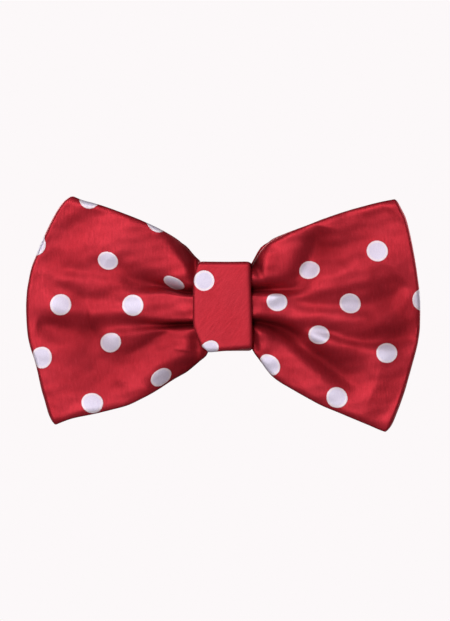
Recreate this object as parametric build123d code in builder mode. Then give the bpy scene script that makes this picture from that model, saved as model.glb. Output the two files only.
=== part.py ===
from build123d import *
import math
import os

# Pre-tied clip-on bow tie, at real size in millimetres.
# +X runs along the wings to the wearer's left, +Z is up, and the front of the bow faces -Y.
# The origin is the centre of the rear face of the steel clip bar, level with the knot's centre.
#
# The bow is one long flat satin tube with an interlining in it, laid in a loop: from the centre
# back out to one wing tip, back across the front, out to the other tip, and back to the centre,
# where its raw ends meet. The middle is gathered, bound with thread and wrapped by a shorter
# tube, the knot, which also holds the clip bar against the back of the gathers. Each half of the
# bar carries a sprung jaw on a riveted pin: pressing the thumb pad near the knot lifts the
# toothed tip off the bar, and a collar leaf goes in.

# ---------------------------------------------------------------- driving dimensions
SATIN_TUBE = 1.8  # thickness of the folded tube, both plies and the interlining
INTERLINING = 0.6  # thickness of the interlining
INTERLINING_ROOM = 0.8  # thickness of the pocket it lies in
EDGE_INSET = 1.6  # from the tube's long edges to the pocket
INTERLINING_EDGE_GAP = 0.3  # from the pocket's edge to the interlining's
END_GAP = 0.6  # between the tube's raw ends at the centre back

WAIST_HALF_X = 10.5  # reach of the gathered waist each side of the centre
WAIST_TOP = 11.3  # half height of the waist
WAIST_FRONT = -16.1  # Y of the front gathers' crests
WAIST_MID_FRONT = -8.9  # Y of the back of the front gathers
WAIST_MID_BACK = -8.5  # Y of the front of the back gathers
WAIST_BACK = -1.55  # Y of the back gathers' crests
CREST_PITCH = 7.6
CREST_HALF_H = 3.7
FRONT_CREST_DEPTH = 2.6
BACK_CREST_DEPTH = 1.7

KNOT_W = 17.7  # width of the wrap along X
KNOT_TOP = 13.55  # half height
KNOT_FRONT = -18.2  # Y of its front face
KNOT_BACK = 2.1  # Y of its rear face, behind the clip bar
KNOT_T = 1.5
KNOT_R = 4.6  # corner radius seen from the end
KNOT_SEAM_GAP = 0.4  # between the wrap's ends at the centre back
KNOT_POCKET_INSET = 0.45  # from the wrap's outer face to its pocket
KNOT_POCKET_T = 0.6
KNOT_POCKET_SIDE = 0.6  # from the wrap's side edges to its pocket
KNOT_INTERLINING_T = 0.46
KNOT_INTERLINING_SIDE = 0.8  # from the wrap's side edges to its interlining

THREAD_R = 0.22  # binding and tacking thread
GATHERING_X = (-3.3, -2.75, 2.75, 3.3)  # turns of thread round the waist
GATHERING_CLEAR_Y = 0.27  # from the crests to the thread's centre
GATHERING_CLEAR_Z = 0.37  # from the waist's top to the thread's centre
GATHERING_CORNER_R = 2.6
TACK_CLEAR = 0.06  # between the tacking thread and the bar's faces
TACK_CORNER_R = 0.42

FINE_THREAD_R = 0.17  # hand-sewing thread
STITCH_CLEAR = 0.02
WHIP_STITCH_Z = (-8.6, -7.2, -1.0, 1.0, 7.2, 8.6)
WHIP_HALF_SPAN = 1.25
WHIP_CREST = 0.32  # from the back gathers' crests to the middle of the stitch
LADDER_STITCHES = 7
LADDER_PITCH = 2.3
LADDER_LEAN = 0.35  # half of a stitch's run along X
LADDER_HALF_SPAN = 1.1
LADDER_RISE = 0.14

BAR_L = 60.0  # clip bar
BAR_W = 9.0
BAR_T = 0.8
BAR_CORNER_R = 2.2
BAR_HOLE_R = 0.8  # sewing holes near the middle
BAR_HOLE_X = 5.0
BAR_HOLE_Z = 2.4
RIB_X = 26.0  # raised rib across each half of the bar
RIB_L = 4.4
RIB_W = 1.2
RIB_H = 0.25
EAR_T = 0.8  # ears bent up square at the bar's long edges
EAR_W = 4.6
EAR_TOP_HALF_W = 1.1
EAR_H = 4.2  # from the bar's rear face
EAR_HOLE_R = 0.76
EAR_FILLET = 0.7

PIVOT_X = 18.0
PIVOT_Y = 2.4
PIN_R = 0.74
PIN_HEAD_R = 1.25
PIN_HEAD_T = 0.4
PIN_HEAD_CHAMFER = 0.15
PIN_PLAY = 0.02  # between each head and its ear

ARM_T = 0.7  # jaw arm sheet
ARM_HALF_W = 3.5
ARM_HOLE_R = 0.80
LEVER = math.radians(25.0)  # slope of the thumb lever from the bar
PAD_IN_X = 10.4
PAD_OUT_X = 14.6
PAD_CORNER_R = 1.6
JAW_TIP_X = 29.0
JAW_Y = 1.75  # underside of the jaw above its teeth
TOOTH_GAP = 0.06  # teeth stand this clear of the bar
TOOTH_NOTCHES = 6
TOOTH_PITCH = 1.2
NOTCH_HALF_W = 0.45
NOTCH_DEPTH = 0.62
NOTCH_RUNOUT = 0.5  # the cut starts this far below the teeth
NOTCH_HALF_X = 1.2  # reach of the cut each side of the tip

WIRE_R = 0.25  # torsion spring wire
COIL_R = 1.18  # mean radius
COIL_PITCH = 0.62
COIL_WHOLE_TURNS = 3
LEVER_LEG = 4.1
BAR_LEG_END = (11.2, WIRE_R + 0.04)  # X, Y
LEG_OVERLAP = 0.12  # each leg starts this far inside the coil

CUT_REACH = 60  # half depth of the block that trims the tube to its outline

# ---------------------------------------------------------------- front outline of the bow
# Columns: X, Z. One wing is a little taller and its tip more slanted, as on a hand-set bow.
RIGHT_TOP = [
    (9.2, 11.3), (11.2, 17.0), (14.6, 20.6), (21.6, 23.9), (33.1, 27.9), (44.1, 30.9),
    (53.2, 32.4),
]  # fmt: skip
RIGHT_END = [
    (53.2, 32.4), (56.0, 26.6), (58.2, 17.6), (60.0, 4.6), (59.9, -5.8), (57.7, -15.8),
    (54.1, -28.5), (50.2, -38.0),
]  # fmt: skip
RIGHT_BOTTOM = [
    (50.2, -38.0), (44.1, -36.0), (33.1, -31.6), (22.1, -25.8), (14.6, -20.2), (11.2, -15.8),
    (9.2, -11.3),
]  # fmt: skip
LEFT_TOP = [
    (-9.2, 11.3), (-11.2, 18.0), (-16.2, 22.3), (-23.5, 25.6), (-36.3, 30.8), (-46.0, 33.4),
]  # fmt: skip
LEFT_END = [
    (-46.0, 33.4), (-51.5, 28.0), (-55.6, 18.0), (-59.3, 9.0), (-60.2, 4.0), (-60.0, -6.0),
    (-56.5, -20.0), (-52.0, -35.5),
]  # fmt: skip
LEFT_BOTTOM = [
    (-52.0, -35.5), (-45.5, -33.5), (-32.0, -30.9), (-19.9, -25.4), (-13.0, -20.6),
    (-10.4, -16.0), (-9.2, -11.3),
]  # fmt: skip
EDGE_RUN_ON = 12  # the long edges run on this far past the tips

# ---------------------------------------------------------------- plan of the satin tube
# Columns: X, Y. Middle line of one half of the tube, from the centre back round the wing tip to
# the centre front, for a tip at PLAN_TIP.
HALF_PLAN = [
    (END_GAP / 2, -4.4), (6.0, -4.4), (12.0, -4.0), (20.0, -3.3), (32.0, -3.2), (44.0, -4.1),
    (53.0, -6.2), (58.4, -8.9), (58.6, -10.7), (54.0, -13.4), (44.0, -15.4), (32.0, -15.8),
    (20.0, -15.0), (12.0, -13.6), (6.0, -12.9), (0.0, -12.8),
]  # fmt: skip
PLAN_TIP = 59.5
WING_ROOT = 10.0  # X beyond which the plan stretches to the tip and pleats
FRONT_LAYER_Y = -11.0  # points forward of this are in the front layer
SIDE_SAMPLES = 64
# Heights Z at which the plan is drawn
LEVELS = [
    -42, -36, -31, -27, -23, -19, -15, -11, -7, -3.5, 0, 3.5, 7, 11, 15, 19, 23, 27, 31, 36,
]  # fmt: skip

PLEAT_DEPTH = 1.5
PLEAT_RISE = 6.0  # pleats reach full depth over this distance from the wing root
PLEAT_FADE = 46.0  # and are gone at this one
PLEAT_WAVES = 1.45  # waves from the centre to the edge of the fan
FAN_HALF_H = 12.0  # half height of the fan at the wing root
FAN_SPREAD = 0.52  # its growth per unit of X


# ---------------------------------------------------------------- helpers
def save(part, name):
    part.label = name
    export_step(part, f"parts/{name}.step")


def start_plane(wire):
    """The plane square to a wire at its start."""
    return Plane(origin=wire.position_at(0), z_dir=wire.tangent_at(0))


def mirrored(part):
    with BuildPart() as left:
        add(mirror(part, about=Plane.YZ))
    return left.part


# ---------------------------------------------------------------- satin tube of the bow
def long_edges(inset):
    """The tube's top and bottom edges, moved inwards by the inset and run on past the tips."""
    edges = []
    for side in (LEFT_TOP[::-1] + RIGHT_TOP, RIGHT_BOTTOM + LEFT_BOTTOM[::-1]):
        moved = []
        for i, (x, z) in enumerate(side):
            before_x, before_z = side[max(i - 1, 0)]
            after_x, after_z = side[min(i + 1, len(side) - 1)]
            run, rise = after_x - before_x, after_z - before_z
            length = math.hypot(run, rise)
            moved.append((x + rise / length * inset, z - run / length * inset))
        ends = []
        for inner, tip in ((moved[1], moved[0]), (moved[-2], moved[-1])):
            run, rise = tip[0] - inner[0], tip[1] - inner[1]
            stretch = EDGE_RUN_ON / math.hypot(run, rise)
            ends.append((tip[0] + run * stretch, tip[1] + rise * stretch))
        edges.append([ends[0]] + moved + [ends[1]])
    return edges


def outline(inset=0):
    """Draw the front outline in the current BuildLine, closed straight beyond the tips."""
    top, bottom = long_edges(inset)
    for edge, first_wing in ((top, len(LEFT_TOP)), (bottom, len(RIGHT_BOTTOM))):
        Line(edge[0], edge[1])
        Spline(*edge[1 : first_wing + 1])
        Line(edge[first_wing], edge[first_wing + 1])
        Spline(*edge[first_wing + 1 : -1])
        Line(edge[-2], edge[-1])
    Line(top[-1], bottom[0])
    Line(bottom[-1], top[0])


def tip_x(wing_end, z):
    """X of a wing-tip line at height z, carried on straight past its ends."""
    points = sorted((point_z, point_x) for point_x, point_z in wing_end)
    i = min(max(sum(point_z <= z for point_z, _ in points), 1), len(points) - 1)
    (z0, x0), (z1, x1) = points[i - 1], points[i]
    return x0 + (x1 - x0) * (z - z0) / (z1 - z0)


def pleat(x, z):
    """Y shift of the front layer: pleats that fan out from the knot and fade to the tip."""
    reach = x - WING_ROOT
    fan_half = FAN_HALF_H + FAN_SPREAD * reach
    depth = PLEAT_DEPTH * min(reach / PLEAT_RISE, 1.0) * max(1.0 - reach / PLEAT_FADE, 0.0)
    return -depth * math.cos(2 * math.pi * PLEAT_WAVES * min(abs(z) / fan_half, 1.0))


def plan_at(z):
    """Points on the tube's middle line at height z, all the way round the loop."""
    halves = []
    for sign, wing_end in ((1, RIGHT_END), (-1, LEFT_END)):
        stretch = (sign * tip_x(wing_end, z) - WING_ROOT) / (PLAN_TIP - WING_ROOT)
        half = []
        for x, y in HALF_PLAN:
            if x > WING_ROOT:
                x = WING_ROOT + (x - WING_ROOT) * stretch
                if y < FRONT_LAYER_Y:
                    y += pleat(x, z)
            half.append((sign * x, y))
        halves.append(half)
    right, left = halves
    return right + left[::-1][1:]


def offset_points(line, amount):
    """Points at a fixed distance to the left of a line."""
    points = []
    for i in range(SIDE_SAMPLES + 1):
        at, along = line.position_at(i / SIDE_SAMPLES), line.tangent_at(i / SIDE_SAMPLES)
        points.append((at.X - along.Y * amount, at.Y + along.X * amount))
    return points


def tube_sections(thickness):
    """The tube's plan at each level, bottom to top. Call it outside any builder."""
    sections = []
    for z in LEVELS:
        middle = Spline(*plan_at(z))
        outer = offset_points(middle, thickness / 2)
        inner = offset_points(middle, -thickness / 2)
        with BuildSketch(Plane.XY.offset(z)) as plan:
            with BuildLine():
                Spline(*outer)
                Line(outer[-1], inner[-1])
                Spline(*reversed(inner))
                Line(inner[0], outer[0])
            make_face()
        sections.append(plan.sketch.face())
    return sections


def tube(thickness, inset):
    """A layer that follows the tube and stops short of its long edges by the inset."""
    sections = tube_sections(thickness)
    with BuildPart() as layer:
        loft(sections=sections)
        with BuildSketch(Plane.XZ):
            with BuildLine():
                outline(inset)
            make_face()
        extrude(amount=CUT_REACH, both=True, mode=Mode.INTERSECT)
    return layer.part


def gathers(crest_y, mid, crest_depth):
    """Draw the waist's side view in the current BuildSketch: a block with three crests."""
    root = crest_y + math.copysign(crest_depth, mid - crest_y)
    with Locations(((root + mid) / 2, 0)):
        Rectangle(abs(mid - root), 2 * WAIST_TOP)
    with Locations((root, -CREST_PITCH), (root, 0), (root, CREST_PITCH)):
        Ellipse(crest_depth, CREST_HALF_H)


def bow_shell():
    pocket = tube(INTERLINING_ROOM, EDGE_INSET)
    sections = tube_sections(SATIN_TUBE)
    with BuildPart() as shell:
        loft(sections=sections)
        with BuildSketch(Plane.XZ):
            with BuildLine():
                outline()
            make_face()
        extrude(amount=CUT_REACH, both=True, mode=Mode.INTERSECT)
        for crest_y, mid, depth in (
            (WAIST_FRONT, WAIST_MID_FRONT, FRONT_CREST_DEPTH),
            (WAIST_BACK, WAIST_MID_BACK, BACK_CREST_DEPTH),
        ):
            with BuildSketch(Plane.YZ):
                gathers(crest_y, mid, depth)
            extrude(amount=WAIST_HALF_X, both=True)
        # Gap between the raw ends, through the back gathers and 0.1 beyond
        with BuildSketch(Plane.YZ):
            with Locations((WAIST_MID_BACK / 2, 0)):
                Rectangle(abs(WAIST_MID_BACK) + 0.2, 40)
        extrude(amount=END_GAP / 2, both=True, mode=Mode.SUBTRACT)
        add(pocket, mode=Mode.SUBTRACT)
    return shell.part


# ---------------------------------------------------------------- threads and stitches
def thread_loop(x, front, back, half_z, corner, radius):
    """A closed thread round a rounded rectangle in the plane X = x."""
    middle = (front + back) / 2
    bulge = corner * (1 - math.sqrt(0.5))  # from a side to the middle of the corner arc
    front_in, back_in, z_in = front + corner, back - corner, half_z - corner
    front_arc, back_arc, z_arc = front + bulge, back - bulge, half_z - bulge
    with BuildPart() as loop:
        with BuildLine(Plane.YZ.offset(x)) as path:
            Line((middle, -half_z), (back_in, -half_z))
            ThreePointArc((back_in, -half_z), (back_arc, -z_arc), (back, -z_in))
            Line((back, -z_in), (back, z_in))
            ThreePointArc((back, z_in), (back_arc, z_arc), (back_in, half_z))
            Line((back_in, half_z), (front_in, half_z))
            ThreePointArc((front_in, half_z), (front_arc, z_arc), (front, z_in))
            Line((front, z_in), (front, -z_in))
            ThreePointArc((front, -z_in), (front_arc, -z_arc), (front_in, -half_z))
            Line((front_in, -half_z), (middle, -half_z))
        with BuildSketch(start_plane(path.wire())):
            Circle(radius)
        sweep(path=path.wire())
    return loop.part


def gathering_thread():
    front, back = WAIST_FRONT - GATHERING_CLEAR_Y, WAIST_BACK + GATHERING_CLEAR_Y
    half_z = WAIST_TOP + GATHERING_CLEAR_Z
    loops = [
        thread_loop(x, front, back, half_z, GATHERING_CORNER_R, THREAD_R) for x in GATHERING_X
    ]
    with BuildPart() as thread:
        add(loops)
    return thread.part


def bar_tacking_thread():
    """Two tacks through the bar's sewing holes and round its web."""
    back = THREAD_R + TACK_CLEAR
    loops = [
        thread_loop(x, -BAR_T - back, back, BAR_HOLE_Z, TACK_CORNER_R, THREAD_R)
        for x in (-BAR_HOLE_X, BAR_HOLE_X)
    ]
    with BuildPart() as thread:
        add(loops)
    return thread.part


def loop_end_stitches():
    """Whip stitches across the tube's raw ends at the centre back, some under the clip bar."""
    end_y = WAIST_BACK + STITCH_CLEAR + FINE_THREAD_R
    with BuildPart() as stitches:
        for z in WHIP_STITCH_Z:
            with BuildLine(Plane.XY.offset(z)) as path:
                ThreePointArc(
                    (-WHIP_HALF_SPAN, end_y), (0, WAIST_BACK + WHIP_CREST), (WHIP_HALF_SPAN, end_y)
                )
            with BuildSketch(start_plane(path.wire())):
                Circle(FINE_THREAD_R)
            sweep(path=path.wire())
    return stitches.part


def knot_closing_stitches():
    """Ladder stitches that draw the wrap's two ends together at the centre back."""
    y = KNOT_BACK + FINE_THREAD_R + STITCH_CLEAR
    with BuildPart() as stitches:
        for i in range(LADDER_STITCHES):
            x = (i - (LADDER_STITCHES - 1) / 2) * LADDER_PITCH
            with BuildLine() as path:
                ThreePointArc(
                    (x - LADDER_LEAN, y, -LADDER_HALF_SPAN),
                    (x, y + LADDER_RISE, 0),
                    (x + LADDER_LEAN, y, LADDER_HALF_SPAN),
                )
            with BuildSketch(start_plane(path.wire())):
                Circle(FINE_THREAD_R)
            sweep(path=path.wire())
    return stitches.part


# ---------------------------------------------------------------- knot
def knot_band(inset, thickness):
    """Draw a rounded ring, open at the centre back, in the current BuildSketch."""
    depth = KNOT_BACK - KNOT_FRONT
    inner = inset + thickness
    with Locations(((KNOT_FRONT + KNOT_BACK) / 2, 0)):
        RectangleRounded(depth - 2 * inset, 2 * (KNOT_TOP - inset), KNOT_R - inset)
        RectangleRounded(
            depth - 2 * inner, 2 * (KNOT_TOP - inner), KNOT_R - inner, mode=Mode.SUBTRACT
        )
    with Locations((KNOT_BACK, 0)):
        Rectangle(2 * inner + 2, KNOT_SEAM_GAP, mode=Mode.SUBTRACT)


def knot_wrap():
    with BuildPart() as wrap:
        with BuildSketch(Plane.YZ):
            knot_band(0, KNOT_T)
        extrude(amount=KNOT_W / 2, both=True)
        with BuildSketch(Plane.YZ):
            knot_band(KNOT_POCKET_INSET, KNOT_POCKET_T)
        extrude(amount=KNOT_W / 2 - KNOT_POCKET_SIDE, both=True, mode=Mode.SUBTRACT)
    return wrap.part


def knot_interlining():
    """The interlining, centred in the thickness of the wrap's pocket."""
    inset = KNOT_POCKET_INSET + (KNOT_POCKET_T - KNOT_INTERLINING_T) / 2
    with BuildPart() as interlining:
        with BuildSketch(Plane.YZ):
            knot_band(inset, KNOT_INTERLINING_T)
        extrude(amount=KNOT_W / 2 - KNOT_INTERLINING_SIDE, both=True)
    return interlining.part


# ---------------------------------------------------------------- clip
def clip_bar():
    with BuildPart() as bar:
        with BuildSketch(Plane.XZ):
            RectangleRounded(BAR_L, BAR_W, BAR_CORNER_R)
            with Locations(
                *[(sx * BAR_HOLE_X, sz * BAR_HOLE_Z) for sx in (-1, 1) for sz in (-1, 1)]
            ):
                Circle(BAR_HOLE_R, mode=Mode.SUBTRACT)
        extrude(amount=BAR_T)
        # Ribs stand up from the rear face
        with BuildSketch(Plane.XZ):
            with Locations((RIB_X, 0), (-RIB_X, 0)):
                SlotOverall(RIB_L, RIB_W, rotation=90)
        extrude(amount=-RIB_H)
        # Ears, a pair at the bottom edge and a pair at the top
        for z in (-BAR_W / 2, BAR_W / 2 - EAR_T):
            with BuildSketch(Plane.XY.offset(z)):
                for sx in (-1, 1):
                    with BuildLine():
                        Polyline(
                            (sx * (PIVOT_X - EAR_W / 2), -BAR_T),
                            (sx * (PIVOT_X - EAR_W / 2), PIVOT_Y),
                            (sx * (PIVOT_X - EAR_TOP_HALF_W), EAR_H),
                            (sx * (PIVOT_X + EAR_TOP_HALF_W), EAR_H),
                            (sx * (PIVOT_X + EAR_W / 2), PIVOT_Y),
                            (sx * (PIVOT_X + EAR_W / 2), -BAR_T),
                            close=True,
                        )
                    make_face()
                    with Locations((sx * PIVOT_X, PIVOT_Y)):
                        Circle(EAR_HOLE_R, mode=Mode.SUBTRACT)
            extrude(amount=EAR_T)
        ear_tops = bar.edges().filter_by(Axis.Z).group_by(Axis.Y)[-1]
        fillet(ear_tops, EAR_FILLET)
    return bar.part


def lever_y(x, clear):
    """Y at x of a line parallel to the lever, the given distance from the pin's centre."""
    return PIVOT_Y + (clear - (x - PIVOT_X) * math.sin(LEVER)) / math.cos(LEVER)


def clip_arm_right():
    under_lever = COIL_R + 2 * WIRE_R + 0.02  # from the pin's centre to the lever's underside
    roof_x = PIVOT_X + 1.6
    roof_y = lever_y(roof_x, under_lever)
    pad_y = lever_y(PAD_OUT_X, under_lever)  # underside of the thumb pad
    # Columns: X, Y. Thumb pad, lever, roof, jaw and toothed flange as one bent strip.
    strip = [
        (PAD_IN_X, pad_y),
        (PAD_OUT_X, pad_y),
        (roof_x, roof_y),
        (JAW_TIP_X - 0.7, JAW_Y),
        (JAW_TIP_X - 0.35, TOOTH_GAP),
        (JAW_TIP_X + 0.35, TOOTH_GAP),
        (JAW_TIP_X + 0.1, JAW_Y + 0.45),
        (JAW_TIP_X - 0.5, JAW_Y + ARM_T + 0.02),
        (roof_x + 0.1, roof_y + ARM_T + 0.05),
        (PAD_OUT_X + 0.15, pad_y + ARM_T),
        (PAD_IN_X, pad_y + ARM_T),
    ]
    # Columns: X, Y. Side flange that carries the pin.
    flange = [
        (PIVOT_X - 2.0, lever_y(PIVOT_X - 2.0, under_lever + 0.3)),
        (PIVOT_X - 1.5, PIVOT_Y - 0.6),
        (PIVOT_X - 0.7, PIVOT_Y - 1.5),
        (PIVOT_X + 0.7, PIVOT_Y - 1.5),
        (PIVOT_X + 1.8, PIVOT_Y - 0.8),
        (PIVOT_X + 4.6, JAW_Y + 0.9),
        (roof_x, roof_y + 0.3),
    ]
    with BuildPart() as arm:
        with BuildSketch(Plane.XY.offset(-ARM_HALF_W)):
            with BuildLine():
                Polyline(*strip, close=True)
            make_face()
        extrude(amount=2 * ARM_HALF_W)
        pad_corners = arm.edges().filter_by(Axis.Y).group_by(Axis.X)[0]
        fillet(pad_corners, PAD_CORNER_R)
        for z in (-ARM_HALF_W, ARM_HALF_W - ARM_T):
            with BuildSketch(Plane.XY.offset(z)):
                with BuildLine():
                    Polyline(*flange, close=True)
                make_face()
                with Locations((PIVOT_X, PIVOT_Y)):
                    Circle(ARM_HOLE_R, mode=Mode.SUBTRACT)
            extrude(amount=ARM_T)
        # V notches leave saw teeth in the edge of the jaw's flange
        with BuildSketch(Plane.YZ.offset(JAW_TIP_X - NOTCH_HALF_X)):
            for i in range(TOOTH_NOTCHES):
                z = (i - (TOOTH_NOTCHES - 1) / 2) * TOOTH_PITCH
                with BuildLine():
                    Polyline(
                        (TOOTH_GAP - NOTCH_RUNOUT, z - NOTCH_HALF_W),
                        (TOOTH_GAP + NOTCH_DEPTH, z),
                        (TOOTH_GAP - NOTCH_RUNOUT, z + NOTCH_HALF_W),
                        close=True,
                    )
                make_face()
        extrude(amount=2 * NOTCH_HALF_X, mode=Mode.SUBTRACT)
    return arm.part


def hinge_pin(x):
    """A pin along Z, riveted over the bar's ears."""
    head_z = BAR_W / 2 + PIN_PLAY
    with BuildPart() as pin:
        with BuildSketch(Plane.XY.offset(-head_z)):
            with Locations((x, PIVOT_Y)):
                Circle(PIN_R)
        extrude(amount=2 * head_z)
        for up in (1, -1):
            with BuildSketch(Plane.XY.offset(up * head_z)):
                with Locations((x, PIVOT_Y)):
                    Circle(PIN_HEAD_R)
            extrude(amount=up * PIN_HEAD_T)
        for end in (0, -1):
            rim = pin.edges().filter_by(GeomType.CIRCLE).group_by(Axis.Z)[end]
            chamfer(rim, PIN_HEAD_CHAMFER)
    return pin.part


def torsion_spring_right():
    """A coil round the pin, with one leg on the bar and the other under the thumb lever."""
    # Angles round the pin at which the legs leave the coil, each at a tangent
    lever_angle = math.pi / 2 - LEVER
    bar_x, bar_y = BAR_LEG_END[0] - PIVOT_X, BAR_LEG_END[1] - PIVOT_Y
    bar_angle = math.atan2(bar_y, bar_x) + math.acos(COIL_R / math.hypot(bar_x, bar_y))
    part_turn = (bar_angle - lever_angle) % (2 * math.pi) / (2 * math.pi)
    coil_h = COIL_PITCH * (COIL_WHOLE_TURNS + part_turn)
    lever_dir = (math.cos(lever_angle), math.sin(lever_angle), 0)

    with BuildPart() as spring:
        coil_plane = Plane(
            origin=(PIVOT_X, PIVOT_Y, -coil_h / 2), x_dir=lever_dir, z_dir=(0, 0, 1)
        )
        with BuildLine(coil_plane) as coil:
            Helix(pitch=COIL_PITCH, height=coil_h, radius=COIL_R)
        with BuildSketch(start_plane(coil.wire())):
            Circle(WIRE_R)
        sweep(path=coil.wire(), is_frenet=True)

        # The lever leg runs parallel to the lever
        start_z = coil.wire().position_at(0).Z
        lever_start = Vector(
            PIVOT_X + COIL_R * lever_dir[0], PIVOT_Y + COIL_R * lever_dir[1], start_z
        )
        lever_leg = Vector(-LEVER_LEG * math.cos(LEVER), LEVER_LEG * math.sin(LEVER), 0)
        bar_start = coil.wire().position_at(1)
        bar_leg = Vector(*BAR_LEG_END, bar_start.Z) - bar_start
        for start, leg in ((lever_start, lever_leg), (bar_start, bar_leg)):
            with BuildSketch(Plane(origin=start - leg.normalized() * LEG_OVERLAP, z_dir=leg)):
                Circle(WIRE_R)
            extrude(amount=leg.length + LEG_OVERLAP)
    return spring.part


# ---------------------------------------------------------------- build and save
os.makedirs("parts", exist_ok=True)

save(bow_shell(), "bow_shell")
save(tube(INTERLINING, EDGE_INSET + INTERLINING_EDGE_GAP), "bow_interlining")
save(gathering_thread(), "gathering_thread")
save(loop_end_stitches(), "loop_end_stitches")
save(bar_tacking_thread(), "bar_tacking_thread")
save(knot_wrap(), "knot_wrap")
save(knot_interlining(), "knot_interlining")
save(knot_closing_stitches(), "knot_closing_stitches")
save(clip_bar(), "clip_bar")
save(hinge_pin(PIVOT_X), "hinge_pin_right")
save(hinge_pin(-PIVOT_X), "hinge_pin_left")
for name, build_right in (
    ("clip_arm", clip_arm_right),
    ("torsion_spring", torsion_spring_right),
):
    right = build_right()
    save(right, f"{name}_right")
    save(mirrored(right), f"{name}_left")
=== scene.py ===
# Pre-tied clip-on bow tie: a gathered satin loop, a knot band, threads and the clip's two springs.
# X runs along the wings, Z is up and the front of the bow faces -Y. Left is -X and right is +X.
# Lengths are millimetres up to the materials; meshes are scaled to metres as they are made.
from math import acos, atan2, cos, hypot, pi, radians, sin, sqrt, tau
from math import e as EULER

import bmesh
import bpy
import numpy as np
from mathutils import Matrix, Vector


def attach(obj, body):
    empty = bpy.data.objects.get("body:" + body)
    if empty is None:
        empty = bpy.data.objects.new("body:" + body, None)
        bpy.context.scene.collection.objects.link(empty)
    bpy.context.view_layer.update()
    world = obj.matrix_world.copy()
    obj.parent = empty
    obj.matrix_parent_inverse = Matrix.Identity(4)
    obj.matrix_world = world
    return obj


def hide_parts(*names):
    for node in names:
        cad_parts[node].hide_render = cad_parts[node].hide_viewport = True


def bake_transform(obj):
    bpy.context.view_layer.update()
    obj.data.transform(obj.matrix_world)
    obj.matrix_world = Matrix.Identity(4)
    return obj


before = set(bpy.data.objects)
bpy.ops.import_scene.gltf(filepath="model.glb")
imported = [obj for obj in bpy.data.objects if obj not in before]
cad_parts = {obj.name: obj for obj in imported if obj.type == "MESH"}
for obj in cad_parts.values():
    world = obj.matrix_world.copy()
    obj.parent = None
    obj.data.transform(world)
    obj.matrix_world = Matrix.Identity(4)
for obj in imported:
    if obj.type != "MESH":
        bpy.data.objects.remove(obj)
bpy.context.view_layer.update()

MM = 0.001
BODY = "bow"
LEFT, RIGHT = -1, 1

HALF_SPAN = 60.0  # centre to wing tip
ROOT_X = 10.0  # from here outwards a wing is stretched to meet its tip line
CLOTH = 1.5  # thickness of the loop's wall
PACKED_FRONT = -16.66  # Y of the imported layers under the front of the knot
BINDING_X = 3.02  # middle of the groove the binding pulls on each side
DOT_RADIUS = 3.2
DOT_PITCH = 21.9
ROW_PITCH = 0.866 * DOT_PITCH
FAR = 1e3  # stands for "no dot near"
UNDOTTED = 50.0  # dot distance given to plain areas


# ------------------------------------------------------------------ curves and grids
def pchip(x, y):
    """Shape-preserving cubic through the points, carried on straight past both ends."""
    x = np.asarray(x, float)
    y = np.asarray(y, float)
    if x[0] > x[-1]:
        x = x[::-1]
        y = y[::-1]
    step = np.diff(x)
    rise = np.diff(y) / step
    slope = np.zeros_like(x)
    for i in range(1, len(x) - 1):
        if rise[i - 1] * rise[i] > 0:
            before = 2 * step[i] + step[i - 1]
            after = step[i] + 2 * step[i - 1]
            slope[i] = (before + after) / (before / rise[i - 1] + after / rise[i])
    slope[0] = rise[0]
    slope[-1] = rise[-1]

    def curve(at):
        at = np.asarray(at, float)
        i = np.clip(np.searchsorted(x, at) - 1, 0, len(x) - 2)
        t = (at - x[i]) / step[i]
        t2 = t * t
        t3 = t2 * t
        value = (
            (2 * t3 - 3 * t2 + 1) * y[i]
            + (t3 - 2 * t2 + t) * step[i] * slope[i]
            + (3 * t2 - 2 * t3) * y[i + 1]
            + (t3 - t2) * step[i] * slope[i + 1]
        )
        value = np.where(at < x[0], y[0] + slope[0] * (at - x[0]), value)
        return np.where(at > x[-1], y[-1] + slope[-1] * (at - x[-1]), value)

    return curve


def running_length(line):
    """Length along a line of points, from 0 at the first."""
    return np.concatenate([[0], np.cumsum(np.linalg.norm(np.diff(line, axis=0), axis=1))])


def resample(line, along, at):
    """The line's points at the given lengths along it."""
    return np.stack([np.interp(at, along, column) for column in line.T], 1)


def smooth_line(points, count):
    """Evenly spaced points along a Catmull-Rom line through the given points."""
    p = np.asarray(points, float)
    p = np.vstack([2 * p[0] - p[1], p, 2 * p[-1] - p[-2]])
    t = np.linspace(0, 1, 24, endpoint=False)[:, None]
    pieces = []
    for a, b, c, d in zip(p, p[1:], p[2:], p[3:]):
        square = (2 * a - 5 * b + 4 * c - d) * t**2
        cube = (3 * b - a - 3 * c + d) * t**3
        pieces.append(0.5 * (2 * b + (c - a) * t + square + cube))
    dense = np.vstack(pieces + [p[-2][None, :]])
    along = running_length(dense)
    return resample(dense, along, np.linspace(0, along[-1], count))


def smoothstep(start, end, value):
    t = np.clip((value - start) / (end - start), 0, 1)
    return t * t * (3 - 2 * t)


def waves(a, b, seed, low, high, count=18):
    """Sum of plane waves of random direction and phase: repeatable unevenness about 1 high."""
    random = np.random.default_rng(seed)
    total = np.zeros(np.broadcast(a, b).shape)
    for _ in range(count):
        frequency = random.uniform(low, high)
        angle = random.uniform(0, tau)
        phase = random.uniform(0, tau)
        total += np.sin(tau * frequency * (a * cos(angle) + b * sin(angle)) + phase)
    return total / sqrt(count)


def crowded(count, crowding):
    """Stations from -1 to 1, closer together towards both ends."""
    return np.sin(np.linspace(-1, 1, count) * pi / 2 * crowding) / sin(pi / 2 * crowding)


def pick(first, last, count):
    """About count whole numbers spread evenly from first to last."""
    return np.unique(np.round(np.linspace(first, last, count)).astype(int))


def unit(vectors):
    return vectors / (np.linalg.norm(vectors, axis=-1, keepdims=True) + 1e-12)


def grid_normals(grid):
    return unit(np.cross(np.gradient(grid, axis=0), np.gradient(grid, axis=1)))


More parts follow.
